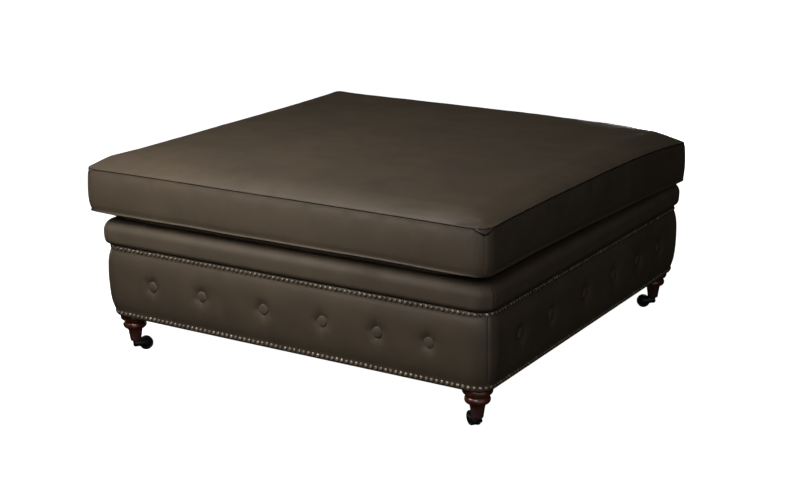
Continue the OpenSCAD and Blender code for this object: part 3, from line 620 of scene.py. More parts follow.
class CushionShape:
    """The boxed cushion as one closed sheet: boxing rows first, then the top and bottom panels."""

    def __init__(self, sizes, step=8 * MM, fine=EDGE_STEPS):
        self.sizes = sizes
        self.half = CUSHION_HIGH.x
        self.low = CUSHION_LOW.z + sizes.crown_bottom
        self.high = CUSHION_HIGH.z - sizes.crown_top
        self.height = self.high - self.low
        along = spaced(side_length(self.half, sizes.corner), step, fine)
        self.along = along / along[-1]
        self.steps = len(along) - 1
        run, turn = side_run(self.half, sizes.corner, along)
        normal = np.stack([np.sin(turn), -np.cos(turn)], axis=1)
        self.sides = [quarter(run, q) for q in range(4)]
        self.ring = np.concatenate([side[:-1] for side in self.sides])
        self.ring_normal = np.concatenate([quarter(normal, q)[:-1] for q in range(4)])
        # Heights of the boxing's rows over its bottom seam, with close rows at both edges of the zip
        zip_edges = self.height / 2 + np.array([-13.4, -12.2, 12.2, 13.4]) * MM
        rise = spaced(self.height, 0.75 * step, fine[fine < 13 * MM])
        self.rise = np.unique(np.concatenate([rise, zip_edges]))
        self.rows = len(self.rise)

    def seam_height(self, points, high):
        """Height of the top or bottom seam, with its slow waver and the dip at each top corner."""
        flat = np.concatenate([points, np.zeros((len(points), 1))], axis=1)
        if not high:
            return self.low + 1.7 * MM * ripple(flat, 0.16, 3.1) - self.sink(points, False)
        wave = 0.8 * MM * ripple(flat, 0.2, 7.7)
        return self.high + wave - self.pleat(points) - self.sink(points, True)

    def sink(self, points, high):
        """How far the worn cushion droops towards its back right corner."""
        u, v = np.clip(points / (2 * self.half) + 0.5, 0, 1).T
        if high:
            return 1.1 * self.sizes.droop * (u * v) ** 5
        return 0.86 * self.sizes.droop * u ** 2 * np.clip((v - 0.2) / 0.75, 0, 1) ** 1.3

    def pleat(self, points):
        """How far the tucked pleats reach down from the top seam near the corners."""
        gap = corner_gap(points, self.half, self.sizes.corner) / self.sizes.pleat_reach
        return self.sizes.pleat * np.maximum(0, 1 - gap ** 1.3)

    def boxing(self):
        """Rows of the boxing from the bottom seam to the top one, with the marks of its seams, which carry painted
        shade, and of its lip, which carry a painted highlight.
        """
        s, x, y = self.sizes, self.ring[:, 0], self.ring[:, 1]
        low, high = self.seam_height(self.ring, False), self.seam_height(self.ring, True)
        gap = corner_gap(self.ring, self.half, s.corner)
        stands = 1 - 0.6 * bell(gap, 45 * MM)
        # Every corner but the drooped one is tucked in at its foot
        square = np.minimum(x, y) < 0.6 * self.half
        seam_wide, join_from_back = 1.3 * MM, 60 * MM
        join = bell(y - self.half + join_from_back, seam_wide) * (x > 0.9 * self.half)
        seam = np.maximum(bell(gap, seam_wide), join)
        # Painted highlight along the bottom lip, strongest on the left side and none over most of the right.
        rubbed_and_painted_light = stands * np.clip(0.1 - 0.8 * x, 0, 0.5)
        rows, seams, rubs_and_painted_light = [], [], []
        for e in self.rise:
            t, under = e / self.height, self.height - e
            bow = math.sin(math.pi * t)
            z = low + t * (high - low)
            lip = s.lip * bell(e, 2.6 * MM) - 0.5 * MM * bell(e - 7 * MM, 4 * MM)
            out = s.swell * bow + stands * lip - 0.5 * MM * bell(under, 1.0 * MM)
            out -= 6 * MM * bell(gap, 25 * MM) * math.exp(-e / (10 * MM)) * square
            place = np.column_stack([self.ring, np.full(len(x), z.mean())])
            out += 0.9 * MM * bow * ripple(place, 0.09, 1.3)
            pucker = 0.35 * MM * ripple(place * np.array([1, 1, 0.3]), 0.013, 4.2)
            out += pucker * (bell(e, 12 * MM) + bell(under, 12 * MM))
            out += 0.5 * MM * bell(gap - 5 * MM, 3.5 * MM) - 0.5 * MM * seam
            xy = draw_in(self.ring + self.ring_normal * out[:, None], self.half, s.corner, s.draw)
            rows.append(np.column_stack([xy, z]))
            # Dark at the corner seams and along the top seam: the joins, with painted shade in the top seam's
            # groove.
            seams.append(np.maximum(0.25 * seam, bell(under, 1.5 * MM)))
            rubs_and_painted_light.append(rubbed_and_painted_light * bell(e, 2.2 * MM))
        return rows, seams, rubs_and_painted_light

    def panel(self, top):
        """The inner points of the top or bottom panel, with their marks."""
        s = self.sizes
        grid = panel_grid(self.sides)[1:-1, 1:-1].reshape(-1, 2)
        depth = edge_depth(grid, self.half, s.corner)
        gap = corner_gap(grid, self.half, s.corner)
        sunk = self.sink(grid, top)
        edge = self.seam_height(grid, top) + sunk
        base = self.high if top else self.low
        fade = np.exp(-depth / (60 * MM))
        z = base + (edge - base) * fade
        place = np.column_stack([grid, np.full(len(grid), 0.2)])
        pucker = 0.3 * MM * ripple(place, 0.014, 8.8) * bell(depth - 6 * MM, 12 * MM)
        if top:
            soft = np.minimum(1, depth / (30 * MM))
            middle = 1 - (np.maximum(np.abs(grid[:, 0]), np.abs(grid[:, 1])) / self.half) ** 2
            pleated = gap < s.pleat_reach
            fold = bell(depth - 2.1 * MM, 0.7 * MM) * (gap < 1.15 * s.pleat_reach)
            tucked = np.clip(1 - depth / (1.6 * MM), 0, 1) ** 0.8
            z = np.where(pleated, self.high - self.pleat(grid) * tucked, z)
            z = z - sunk + s.crown_top * (0.78 * self.crown(grid) + 0.22 * middle * soft) - 0.5 * MM * fold
            z += (1.3 * MM * ripple(place, 0.14, 2.2) + 0.5 * MM * ripple(place, 0.05, 5.5)) * soft + pucker
            squeeze = 0.4 * MM * bell(depth, 1.0 * MM)
            # Dark along the top seam and in each pleat's crease: painted shade in the crease and the seam's
            # groove.
            seam = np.maximum(bell(depth, np.where(pleated, 0.25, 1.5) * MM), fold)
        else:
            bulge = 1 - (1 - np.minimum(1, depth / (0.4 * s.edge_roll))) ** 1.6
            z = z - sunk * fade - s.crown_bottom * (1 - 0.75 * bell(gap, 85 * MM)) * bulge
            z = np.maximum(z + 1.6 * MM * bell(depth - 3 * MM, 2.5 * MM) - pucker, CUSHION_LOW.z)
            squeeze = 1.0 * MM * bell(depth - 2 * MM, 2.5 * MM)
            # A dark line just inside the bottom seam: painted shade in the groove under the lip.
            seam = 0.8 * bell(depth - 2.2 * MM, 1.6 * MM)
        xy = draw_in(grid * (1 - squeeze / self.half)[:, None], self.half, s.corner, s.draw)
        return np.column_stack([xy, z]), seam, np.zeros(len(grid))

    def crown(self, grid):
        """Share of the top's crown at each point: the front and right edges slope, the others are full."""
        wide = self.sizes.edge_roll
        share = np.ones(len(grid))
        for axis, sign, reach, bend in ((1, 1, wide, 1.5), (0, -1, wide, 1.5), (0, 1, 0.4 * wide, 2.6),
                                        (1, -1, 0.7 * wide, 2.2)):
            depth = np.clip((self.half + sign * grid[:, axis]) / reach, 0, 1)
            share *= 1 - (1 - depth) ** bend
        return share

    def build(self):
        """The skin's points and faces, with its seam marks, which carry painted shade, and its rub marks, which
        carry a painted highlight on the lip.
        """
        rows, seams, rubs_and_painted_light = self.boxing()
        for top in (True, False):
            for found, values in zip((rows, seams, rubs_and_painted_light), self.panel(top)):
                found.append(values)
        points = np.concatenate(rows)
        faces = strip_faces(self.rows, len(self.ring), True)
        _, top, bottom = self.sheets(np.arange(len(points))[:, None])
        for sheet, step in ((top, 1), (bottom, -1)):
            n = sheet[..., 0].astype(int)
            quads = np.stack([n[:-1, :-1], n[1:, :-1], n[1:, 1:], n[:-1, 1:]], axis=-1)
            faces += [tuple(quad[::step]) for quad in quads.reshape(-1, 4).tolist()]
        return points, faces, np.concatenate(seams), np.concatenate(rubs_and_painted_light)

    def sheets(self, values):
        """Values at the skin's points as three sheets: the boxing, the top and the bottom panel."""
        n, around = self.steps, len(self.ring)
        boxing = values[:self.rows * around].reshape(self.rows, around, -1)
        found = [np.concatenate([boxing, boxing[:, :1]], axis=1)]
        for k, edge in ((0, boxing[-1]), (1, boxing[0])):
            start = self.rows * around + k * (n - 1) ** 2
            sheet = np.zeros((n + 1, n + 1, values.shape[1]))
            sheet[1:-1, 1:-1] = values[start:start + (n - 1) ** 2].reshape(n - 1, n - 1, -1)
            sheet[:, 0] = edge[:n + 1]
            sheet[n, :] = edge[n:2 * n + 1]
            sheet[::-1, n] = edge[2 * n:3 * n + 1]
            sheet[0, ::-1] = edge[np.arange(3 * n, 4 * n + 1) % around]
            found.append(sheet)
        return found

    def skin(self, sheets):
        """The reverse of sheets: one list of values in the order of the skin's points."""
        width = sheets[0].shape[-1]
        return np.concatenate([sheets[0][:, :-1].reshape(-1, width)]
                              + [sheet[1:-1, 1:-1].reshape(-1, width) for sheet in sheets[1:]])


def resample(sheet, rows, columns, new_rows, new_columns):
    """A sheet of values read at new places along both its ways."""
    def along_rows(values, old, new):
        return np.array([[np.interp(new, old, line[:, k]) for k in range(line.shape[1])] for line in values])

    across = along_rows(sheet, columns, new_columns)
    return along_rows(across.transpose(2, 0, 1), rows, new_rows).transpose(2, 0, 1)


def inflate(points, faces, held, frames=20):
    """Blows up a closed skin, its seams held, as cloth. Returns how far each point moved."""
    scene = bpy.context.scene
    mesh = bpy.data.meshes.new("trial_skin")
    mesh.from_pydata([tuple(p) for p in points], [], faces)
    trial = bpy.data.objects.new("trial_skin", mesh)
    scene.collection.objects.link(trial)
    trial.vertex_groups.new(name="seams").add(held, 1.0, "REPLACE")
    cloth = trial.modifiers.new("Cloth", "CLOTH")
    settings = cloth.settings
    settings.quality = 6
    settings.mass = 0.3
    settings.use_pressure = True
    settings.uniform_pressure_force = 4.0
    settings.effector_weights.gravity = 0.0
    settings.vertex_group_mass = "seams"
    settings.shrink_min = -0.003
    settings.bending_stiffness = 2.0
    cloth.collision_settings.use_collision = False
    cloth.point_cache.frame_start = 1
    cloth.point_cache.frame_end = frames
    for number in range(1, frames + 1):
        scene.frame_set(number)
    blown = trial.evaluated_get(bpy.context.evaluated_depsgraph_get()).to_mesh()
    found = np.empty(3 * len(points))
    blown.vertices.foreach_get("co", found)
    bpy.data.objects.remove(trial)
    scene.frame_set(1)
    return found.reshape(-1, 3) - points


def seam_fade(places, whole):
    """Rises from 0 at both ends of a length to 1 a little way inside them."""
    inside = np.clip(np.minimum(places, whole - places) / (15 * MM), 0, 1)
    return inside ** 2 * (3 - 2 * inside)


def settle(shape, cap):
    """The folds that a blown-up skin takes on each sheet, without its general swelling."""
    trial = CushionShape(shape.sizes, COARSE_STEP, COARSE_EDGE_STEPS)
    points, faces, _, _ = trial.build()
    around = len(trial.ring)
    held = [*range(around), *range((trial.rows - 1) * around, trial.rows * around)]
    round_trial, round_shape = [np.concatenate([q + made.along[:-1] for q in range(4)] + [[4.0]])
                                for made in (trial, shape)]
    # For each sheet: its rows and columns, the new ones, its columns from 0 to 1, and its fade to the seams
    panel_fade = seam_fade(shape.along * 2 * shape.half, 2 * shape.half)
    boxing = (trial.rise / trial.height, round_trial, shape.rise / shape.height, round_shape, round_trial % 1,
              seam_fade(shape.rise, shape.height)[:, None])
    panel = (trial.along, trial.along, shape.along, shape.along, trial.along,
             np.outer(panel_fade, panel_fade))
    moved = trial.sheets(inflate(points, faces, held))
    found = []
    for sheet, places in zip(moved, (boxing, panel, panel)):
        rows, columns, new_rows, new_columns, across, fade = places
        u, v = np.meshgrid(2 * rows - 1, 2 * across - 1, indexing="ij")
        powers = (0, 2, 4, 8)
        basis = np.column_stack([(u ** i * v ** j).ravel() for i in powers for j in powers])
        flat = sheet.reshape(-1, 3)
        even = basis @ np.linalg.lstsq(basis, flat, rcond=None)[0]
        folds = resample((flat - even).reshape(sheet.shape), rows, columns, new_rows, new_columns)
        found.append(cap * np.tanh(folds / cap) * fade[..., None])
    return shape.skin(found)


class POUF_OT_cushion(bpy.types.Operator):
    """Sew the boxed seat cushion"""
    bl_idname = "pouf.cushion"
    bl_label = "Cushion"

    def execute(self, context):
        sizes = context.scene.pouf_cushion
        shape = CushionShape(sizes)
        points, faces, seam, rub = shape.build()
        points += settle(shape, sizes.folds)
        at_zip = points[:, 1] > CUSHION_HIGH.y - 20 * MM
        at_zip &= np.abs(points[:, 0]) < ZIP_HIGH.x + 1.5 * MM
        at_zip &= np.abs(points[:, 2] - ZIP_Z) < (ZIP_HIGH.z - ZIP_LOW.z) / 2 + 0.6 * MM
        points[at_zip, 1] = np.minimum(points[at_zip, 1], ZIP_LOW.y - 0.6 * MM)
        middle = np.array([0, 0, (CUSHION_LOW.z + CUSHION_HIGH.z) / 2])
        core_share = [0.985, 0.985, 0.9]
        shift = np.array([*sizes.shift, 0])
        block = middle + (points - middle) * core_share + shift
        core = make_piece("foam_block", (block, faces), "upholstery_foam", "cushion", "foam",
                          ("cushion_foam",))
        points += shift
        # The seam marks carry painted shade, and the rub marks a painted highlight on the lip.
        piece = make_piece("seat_cushion", (points, faces), "taupe_hide", "cushion", "cushion_leather",
                           ("cushion_cover",), valley=seam, seam=seam, rub=rub)
        sewing = []
        for q in range(4):
            path = points[[row * len(shape.ring) + q * shape.steps for row in range(4, shape.rows - 4)]]
            sewing.append(stitches(path, np.array([*np.sign(path[0, :2]), 0]) / math.sqrt(2)))
        make_piece("boxing_stitches", gather(sewing), "waxed_thread", "cushion", "cushion_leather")
        return {"FINISHED"}


class POUF_OT_zip(bpy.types.Operator):
    """Sew the zip into the back of the boxing"""
    bl_idname = "pouf.zip"
    bl_label = "Zip"

    def execute(self, context):
        shifted = move(*context.scene.pouf_cushion.shift, 0)
        on_back = shifted @ move(0, ZIP_LOW.y, ZIP_Z) @ spin(-math.pi / 2, "X")
        long, chain, pitch = (ZIP_HIGH.x - ZIP_LOW.x) / MM, 5.2, 1.1
        tape_wide = (ZIP_HIGH.z - ZIP_LOW.z) / 2 / MM - 0.6
        tape = plate(rounded_box(long, tape_wide, 1.5), 0, 0.9, 0.3)
        tapes = [placed(tape, on_back @ move(0, side * (tape_wide / 2 + 0.6) * MM, 0)) for side in (-1, 1)]
        make_piece("zip_tape_cloth", gather(tapes), "lining_cloth", "cushion", "black_cloth",
                   ("zip_tape",))
        tooth = plate(rounded_box(1.25, chain * 0.62, 0.4), 0.2, 1.9, 0.3)
        count = int((long - 14) / pitch)
        teeth = [placed(tooth, on_back @ move((i + 0.5 - count / 2) * pitch * MM,
                                              chain * (0.19 if i % 2 else -0.19) * MM, 0))
                 for i in range(count)]
        stop = plate(rounded_box(2.2, chain, 0.7), 0.2, 2.2, 0.4)
        ends = [placed(stop, on_back @ move(side * (long / 2 - 4.5) * MM, 0, 0)) for side in (-1, 1)]
        make_piece("zip_teeth", gather(teeth + ends), "zinc_plate", "cushion", "black_cloth")

        at = move((SLIDER_LOW.x + SLIDER_HIGH.x) / 2, 0, 0) @ on_back
        size, deep = (SLIDER_HIGH.x - SLIDER_LOW.x) / MM, (SLIDER_HIGH.y - ZIP_LOW.y) / MM
        half_body = [(-0.5, 0.8), (-0.3, 1), (0.1, 0.95), (0.5, 0.6)]
        body = np.array([(x, -y) for x, y in half_body] + half_body[::-1]) * (size, chain / 2 + 1.8)
        bridge = [(-4, 2.9), (4, 2.9), (4, 3.6), (2.8, 4.3), (-2.8, 4.3), (-4, 3.6)]
        tab = arc_points(0, (ZIP_Z - SLIDER_LOW.z) / MM - 2.6, 2.5, 0, 180, 10) + [(-1.7, 7)]
        tab += arc_points(0, 0.6, 2.2, 180, 360, 10) + [(1.7, 7)]
        pieces = [placed(plate(body, 2.1, 3.1, 0.35), at),
                  placed(plate(bridge, -0.9, 0.9, 0.25), at @ spin(math.pi / 2, "X")),
                  placed(plate(tab, deep - 0.9, deep, 0.25), at)]
        make_piece("zip_pull", gather(pieces), "zinc_plate", "zip_slider", "steel", ("zip_slider",))
        return {"FINISHED"}


# Base

# Radius at which the sides are measured round the corners, and how far short of each mitre they stop
PANEL_TURN = 40 * MM
MITRE_SLIT = 0.18 * MM


def leather_line(base, z):
    """How far the side leather stands outside the corner centres at each height."""
    low, high = PANEL_LOW.z + base.margin_low, PANEL_HIGH.z - base.margin_high
    t = np.clip((np.asarray(z, float) - low) / (high - low), 0, 1)
    edge = base.corner + base.edge_low * (1 - t) + base.edge_high * t
    return edge + base.swell * (1 - (1 - t) ** 7) * (1 - t ** 8)


def button_places():
    """Places of the buttons along a side, from its middle."""
    return np.array(BUTTON_SHARES) * 2 * LEG_AXIS


def on_side(along, out, z):
    """Points of the front side: along it from its middle, out from the corner centres, and up."""
    turn = np.sign(along) * np.maximum(0, np.abs(along) - LEG_AXIS) / PANEL_TURN
    x = np.clip(along, -LEG_AXIS, LEG_AXIS) + out * np.sin(turn)
    return np.stack([x, -LEG_AXIS - out * np.cos(turn), np.broadcast_to(z, x.shape)], axis=-1)


class POUF_OT_sides(bpy.types.Operator):
    """Stretch and button the leather on the four sides"""
    bl_idname = "pouf.sides"
    bl_label = "Buttoned sides"

    def pull(self, base, side, along, z):
        """How far the buttons pull the leather in at each point, with the folds that they draw."""
        found = np.zeros_like(along)
        rise = z - BUTTON_Z
        for i, x in enumerate(button_places()):
            lean = 0.12 * noise.noise(Vector((i * 3.3, side * 5.1, 0.5)))
            run = along - x - lean * rise
            gap = np.hypot(run, rise)
            dimple = base.tuft_depth * (0.72 * bell(gap, base.tuft_reach) + 0.28 * bell(gap, 13 * MM))
            reach = np.where(rise > 0, 30 * MM, 26 * MM)
            crease = base.fold * bell(run, 5 * MM) * np.exp(-np.abs(rise) / reach) * (1 - bell(gap, 9 * MM))
            star = 0.3 * MM * np.cos(5 * np.arctan2(rise, run) + i + side) * bell(gap - 17 * MM, 9 * MM)
            found = np.maximum(found, dimple) + crease + star
        return found

    def relief(self, base, side, along, z, mitre):
        """How far the leather stands out at each point, less the pull of its buttons."""
        from_low, from_high = z - PANEL_LOW.z, PANEL_HIGH.z - z
        body = np.sin(math.pi * np.clip(from_low / (PANEL_HIGH.z - PANEL_LOW.z), 0, 1)) ** 0.5
        flat = np.column_stack([along.ravel(), np.full(along.size, side * 2.0), z.ravel()])
        wave = (1.0 * MM * ripple(flat, 0.11, 6.1) + 0.4 * MM * ripple(flat, 0.035, 9.3)).reshape(along.shape)
        tack = 0.25 * MM * np.cos(2 * math.pi * along / base.nail_pitch)
        tack = tack * (bell(from_low - 17 * MM, 6 * MM) + bell(from_high - 13 * MM, 5 * MM))
        beside_seam = 0.6 * MM * bell(mitre - 5 * MM, 3.5 * MM)
        corner = base.corner_swell * bell(np.abs(along) - LEG_AXIS - 30 * MM, 32 * MM)
        rounding = 1.6 * MM * (bell(from_low, 1.3 * MM) + 0.6 * bell(from_high, 1.3 * MM))
        return (wave + tack + beside_seam + corner) * body - 0.8 * MM * bell(mitre, 1.4 * MM) - rounding

    def execute(self, context):
        base = context.scene.pouf_base
        end = LEG_AXIS + PANEL_TURN * math.pi / 4 - MITRE_SLIT
        along = spaced(2 * end, 3.6 * MM, EDGE_STEPS[:9]) - end + base.seam_past
        z = PANEL_LOW.z + spaced(PANEL_HIGH.z - PANEL_LOW.z, 3.6 * MM, np.array([0, 0.5, 1.2, 2.2, 4]) * MM)
        grid_along, grid_z = np.meshgrid(along, z)
        mitre = end - np.abs(grid_along - base.seam_past)
        swelled = leather_line(base, grid_z) - leather_line(base, z[0]) + base.corner_swell
        draw_back, rail_gap = 0.55, 0.4 * MM
        grid_along = grid_along - draw_back * np.maximum(0, swelled)
        behind = np.full(len(along), -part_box("upper_rail_front")[0].y - LEG_AXIS + rail_gap)
        for q, side in enumerate(SIDES):
            out = leather_line(base, grid_z) + self.relief(base, q, grid_along, grid_z, mitre)
            face = on_side(grid_along, out - self.pull(base, q, grid_along, grid_z), grid_z)
            edges = [on_side(along, behind, level)[None] for level in (z[0], z[-1])]
            sheet = np.concatenate([edges[0], face, edges[1]])
            rows, columns = sheet.shape[:2]
            faces = strip_faces(rows, columns)
            top, last = (rows - 1) * columns, columns - 1
            faces += [(c, top + c, top + c + 1, c + 1) for c in range(last)]
            faces.append(tuple(r * columns for r in reversed(range(rows))))
            faces.append(tuple(r * columns + last for r in range(rows)))
            marks = {"seam": 0.2 * bell(mitre, 0.7 * MM), "rub": 0.1 * bell(mitre - 2.5 * MM, 1.2 * MM)}
            marks = {name: np.pad(values, ((1, 1), (0, 0))).ravel() for name, values in marks.items()}
            part = turned((sheet.reshape(-1, 3), faces), q)
            piece = make_piece(f"buttoned_side_{side}", part, "taupe_hide", "base", "base_leather",
                               (f"tufted_panel_{side}",), **marks)
            outward = quarter(np.array([[-1.0, -1.0, 0.0]]) / math.sqrt(2), q)[0]
            sewing = stitches(quarter(face[3:-3, 0], q), outward)
            make_piece(f"corner_stitches_{side}", sewing, "waxed_thread", "base", "base_leather")
        return {"FINISHED"}


class POUF_OT_buttons(bpy.types.Operator):
    """Cover the buttons and tie them through the sides"""
    bl_idname = "pouf.buttons"
    bl_label = "Covered buttons"

    def twine(self, long, seed):
        """Two strands twisted together, from a button's back to its toggle."""
        steps, count, turns, thick, apart = 60, 10, 9, 0.4 * MM, 0.42 * MM
        parts = []
        for strand in (0, math.pi):
            circles = []
            for share in np.arange(steps) / (steps - 1):
                turn = strand + seed + 2 * math.pi * turns * share
                away = apart * min(1.0, 8 * share, 8 * (1 - share))
                circle = rings([(thick, -share * long)], count)
                circles.append(circle + [away * math.cos(turn), away * math.sin(turn), 0])
            faces = [f[::-1] for f in strip_faces(steps, count, True)]
            faces += [tuple(range(count)), tuple(reversed(range((steps - 1) * count, steps * count)))]
            parts.append((np.concatenate(circles), faces))
        return gather(parts)

    def cover(self, base):
        """One covered button, domed in front, with the tucks of its leather behind the rim."""
        radius, thick, tuck_count = base.button / 2 / MM, 6, 13
        profile = [(0, -1), (radius - 2.2, -1), (radius - 0.8, 0), (radius - 0.15, 1.1), (radius, 2.0),
                   (radius - 0.4, 3.0), (radius - 1.4, 3.9)]
        profile += [(radius * s, thick - 1.9 * s * s) for s in (0.78, 0.62, 0.45, 0.25)] + [(0, thick)]
        points, faces = lathe(np.array(profile) * MM, 40)
        rim = np.clip(np.hypot(points[:, 0], points[:, 1]) / (base.button / 2), 0, 1)
        turn = np.arctan2(points[:, 1], points[:, 0])
        tucks = 1 - 0.022 * rim ** 3 * (0.5 + 0.5 * np.cos(tuck_count * turn)) * (points[:, 2] < 3.4 * MM)
        points[:, :2] *= tucks[:, None]
        return points, faces, rim

    def execute(self, context):
        base = context.scene.pouf_base
        points, faces, rim = self.cover(base)
        out = float(leather_line(base, BUTTON_Z)) - base.tuft_depth
        behind = BUTTON_HIGH.y + LEG_AXIS + out
        disc = np.array([(0, 0), (6.2, 0), (7, 0.6), (7, 1.4), (6.2, 2), (0, 2)]) * MM
        toggle = lathe(disc - [0, behind], 28)
        rub = 0.12 * bell(rim - 0.7, 0.18) * (points[:, 2] > 2 * MM)
        # Painted shade on the lower rim and back of each button, where it sinks into its dimple.
        seam = np.clip(1 - points[:, 2] / (3.4 * MM), 0, 1)
        most_tip = math.radians(5)
        for q, side in enumerate(SIDES):
            covers, ties = [], []
            for i, x in enumerate(button_places()):
                tip = [most_tip * noise.noise(Vector((i * 2.1, q * 3.7, k))) for k in (0.3, 9.3)]
                spot = move(x, -LEG_AXIS - out, BUTTON_Z) @ spin(math.pi / 2, "X")
                tipped = spot @ spin(tip[0], "X") @ spin(tip[1], "Y") @ spin(i * 1.3, "Z")
                covers.append(placed((points, faces), tipped))
                ties += [placed(self.twine(behind - 1 * MM, i + 6 * q), spot), placed(toggle, spot)]
            marks = {"seam": np.tile(seam, len(covers)), "rub": np.tile(rub, len(covers))}
            for name, parts, finished, carried in (("button_ties", ties, "waxed_thread", {}),
                                                   ("covered_buttons", covers, "worn_hide", marks)):
                make_piece(f"{name}_{side}", turned(gather(parts), q), finished, "base", "base_leather",
                           (f"button_row_{side}",), **carried)
        return {"FINISHED"}


class POUF_OT_nails(bpy.types.Operator):
    """Drive the two rows of nails"""
    bl_idname = "pouf.nails"
    bl_label = "Nails"

    def execute(self, context):
        base = context.scene.pouf_base
        radius, dome = base.nail_head / 2, base.nail_dome
        shank = [(0, -11 * MM), (0.5 * MM, -9 * MM), (0.7 * MM, 0)]
        shank += [(radius * 0.9, 0.1 * MM), (radius, 0.25 * MM), (radius * 0.985, 0.6 * MM)]
        head = np.array([(0.9, 0.45), (0.72, 0.72), (0.45, 0.92), (0.2, 0.99), (0, 1)]) * (radius, dome)
        points, faces = lathe(shank + [tuple(p) for p in head], 16)
        share = 1 - np.hypot(points[:, 0], points[:, 1]) / radius
        lift = np.where(points[:, 2] < 0.3 * MM, 0.0, 0.3 + 0.7 * share)
        aside, up, tilt = 0.5 * MM, 0.8 * MM, 0.25
        heights = {"upper": ROLL_LOW.z - base.nail_drop, "lower": PANEL_LOW.z + base.nail_rise}
        for row, z in heights.items():
            out = float(leather_line(base, z))
            half = LEG_AXIS + out * math.pi / 4
            count = int(2 * half / base.nail_pitch)
            for q, side in enumerate(SIDES):
                # Painted shade: the upper rows, under the roll, are darker, except on the right side.
                painted_light_and_tint = 1.0 if row == "lower" or side == "right" else 0.5
                parts, tones = [], []
                for i in range(count):
                    along = (2 * i + 1 - count) * half / count
                    chance = [noise.noise(Vector((i * 1.37, q * 7.1 + z * 40, k * 4.9))) for k in range(4)]
                    bend = math.copysign(max(0, abs(along) - LEG_AXIS), along) / out
                    x = max(-LEG_AXIS, min(LEG_AXIS, along)) + out * math.sin(bend)
                    y = -LEG_AXIS - out * math.cos(bend)
                    spot = move(x + aside * chance[0], y, z + up * chance[1]) @ spin(bend, "Z")
                    tipped = spin(math.pi / 2 + tilt * chance[2], "X") @ spin(tilt * chance[3], "Y")
                    parts.append(placed((points, faces), spot @ tipped))
                    tones.append(np.full(len(points), 0.95 * painted_light_and_tint + 0.5 * chance[0]))
                make_piece(f"{row}_nail_row_{side}", turned(gather(parts), q), "antique_brass", "base",
                           "old_brass", (f"{row}_nails_{side}",), dome=np.tile(lift, count),
                           tone=np.concatenate(tones))
        return {"FINISHED"}


class POUF_OT_roll(bpy.types.Operator):
    """Wrap the padded roll round the top edge"""
    bl_idname = "pouf.roll"
    bl_label = "Padded roll"

    def section(self, inset):
        """The roll's section as half width and height, from the tuck at the nails to the deck."""
        out, low, high = ROLL_HIGH.x, ROLL_LOW.z + 0.3 * MM, ROLL_HIGH.z
        under, over = 13 * MM, 24 * MM
        line = [(out - under - 4 * MM, low + inset)]
        if not inset:
            line.append((out - under - 2 * MM, low))
        line += arc_points(out - under, low + under, under - inset, -90, 0, 10)
        line += [(out - inset, z) for z in np.linspace(low + under, high - over, 7)[1:-1]]
        line += arc_points(out - over, high - over, over - inset, 0, 90, 14)
        return line + [(a, high - inset) for a in np.linspace(out - over, DECK_HIGH.x + 0.3 * MM, 6)[1:]]

    def execute(self, context):
        base = context.scene.pouf_base
        outer, thick = self.section(0), 1.5 * MM
        section = np.array(outer + self.section(thick)[::-1])
        wide, z = ROLL_HIGH.x, section[:, 1]
        high = (z - ROLL_LOW.z) / (ROLL_HIGH.z - ROLL_LOW.z)
        corner = base.corner + (base.roll_corner - base.corner) * np.clip(2.5 * high, 0, 1)
        radius = np.maximum(thick, corner - (wide - section[:, 0]) * np.clip(1.2 * high, 0, 1))
        bow = 2.2 * MM * (1 - (2 * high - 1) ** 2) * (section[:, 0] > wide - 16 * MM)
        share = spaced(1.0, 0.0065, EDGE_STEPS[:10])
        share = np.unique(np.concatenate([share, np.linspace(0, 0.045, 38)]))
        side = []
        for half, level, r in zip(section[:, 0] + bow, z, radius):
            run, _ = side_run(half, r, share * side_length(half, r))
            side.append(np.column_stack([run, np.full(len(run), level)]))
        sheet = np.concatenate([quarter(np.array(side), q)[:, :-1] for q in range(4)], axis=1)
        rows, columns = sheet.shape[:2]
        flat = sheet.reshape(-1, 3)
        whole = side_length(wide, base.roll_corner)
        from_fold = (share[:-1] * whole - base.roll_fold + whole / 2) % whole - whole / 2
        from_fold = np.broadcast_to(np.tile(from_fold, 4), (rows, columns))
        lift = np.broadcast_to(high[:, None], (rows, columns))
        pucker = ripple(flat * np.array([1, 1, 0.35]), 0.012, 2.9).reshape(rows, columns)
        wave = ripple(flat, 0.12, 4.4).reshape(rows, columns)
        relief = 0.7 * MM * pucker * bell(lift - 0.18, 0.16)
        relief += 1.1 * MM * wave * np.sin(math.pi * np.clip(lift, 0, 1))
        relief += 2.0 * MM * bell(from_fold + 3 * MM, 5 * MM)
        relief -= 1.0 * MM * bell(from_fold - 2.5 * MM, 2.5 * MM)
        body = np.where(np.arange(rows) < len(outer), 1.0, 0.6) * (section[:, 0] > wide - 22 * MM)
        faced = np.abs(sheet[..., :2]) >= np.abs(sheet[..., 1::-1]) - 1e-9
        push = np.where(faced, np.sign(sheet[..., :2]), 0.0)
        sheet[..., :2] += push * (relief * body[:, None])[..., None]
        part = sheet.reshape(-1, 3), tube_faces(rows, columns)
        # The seam mark at each fold past a corner is painted shade in its crease.
        piece = make_piece("top_roll", part, "worn_hide", "base", "base_leather", ("roll_cover",),
                           seam=0.5 * bell(from_fold, 0.9 * MM).ravel(), rub=np.zeros(rows * columns))
        return {"FINISHED"}


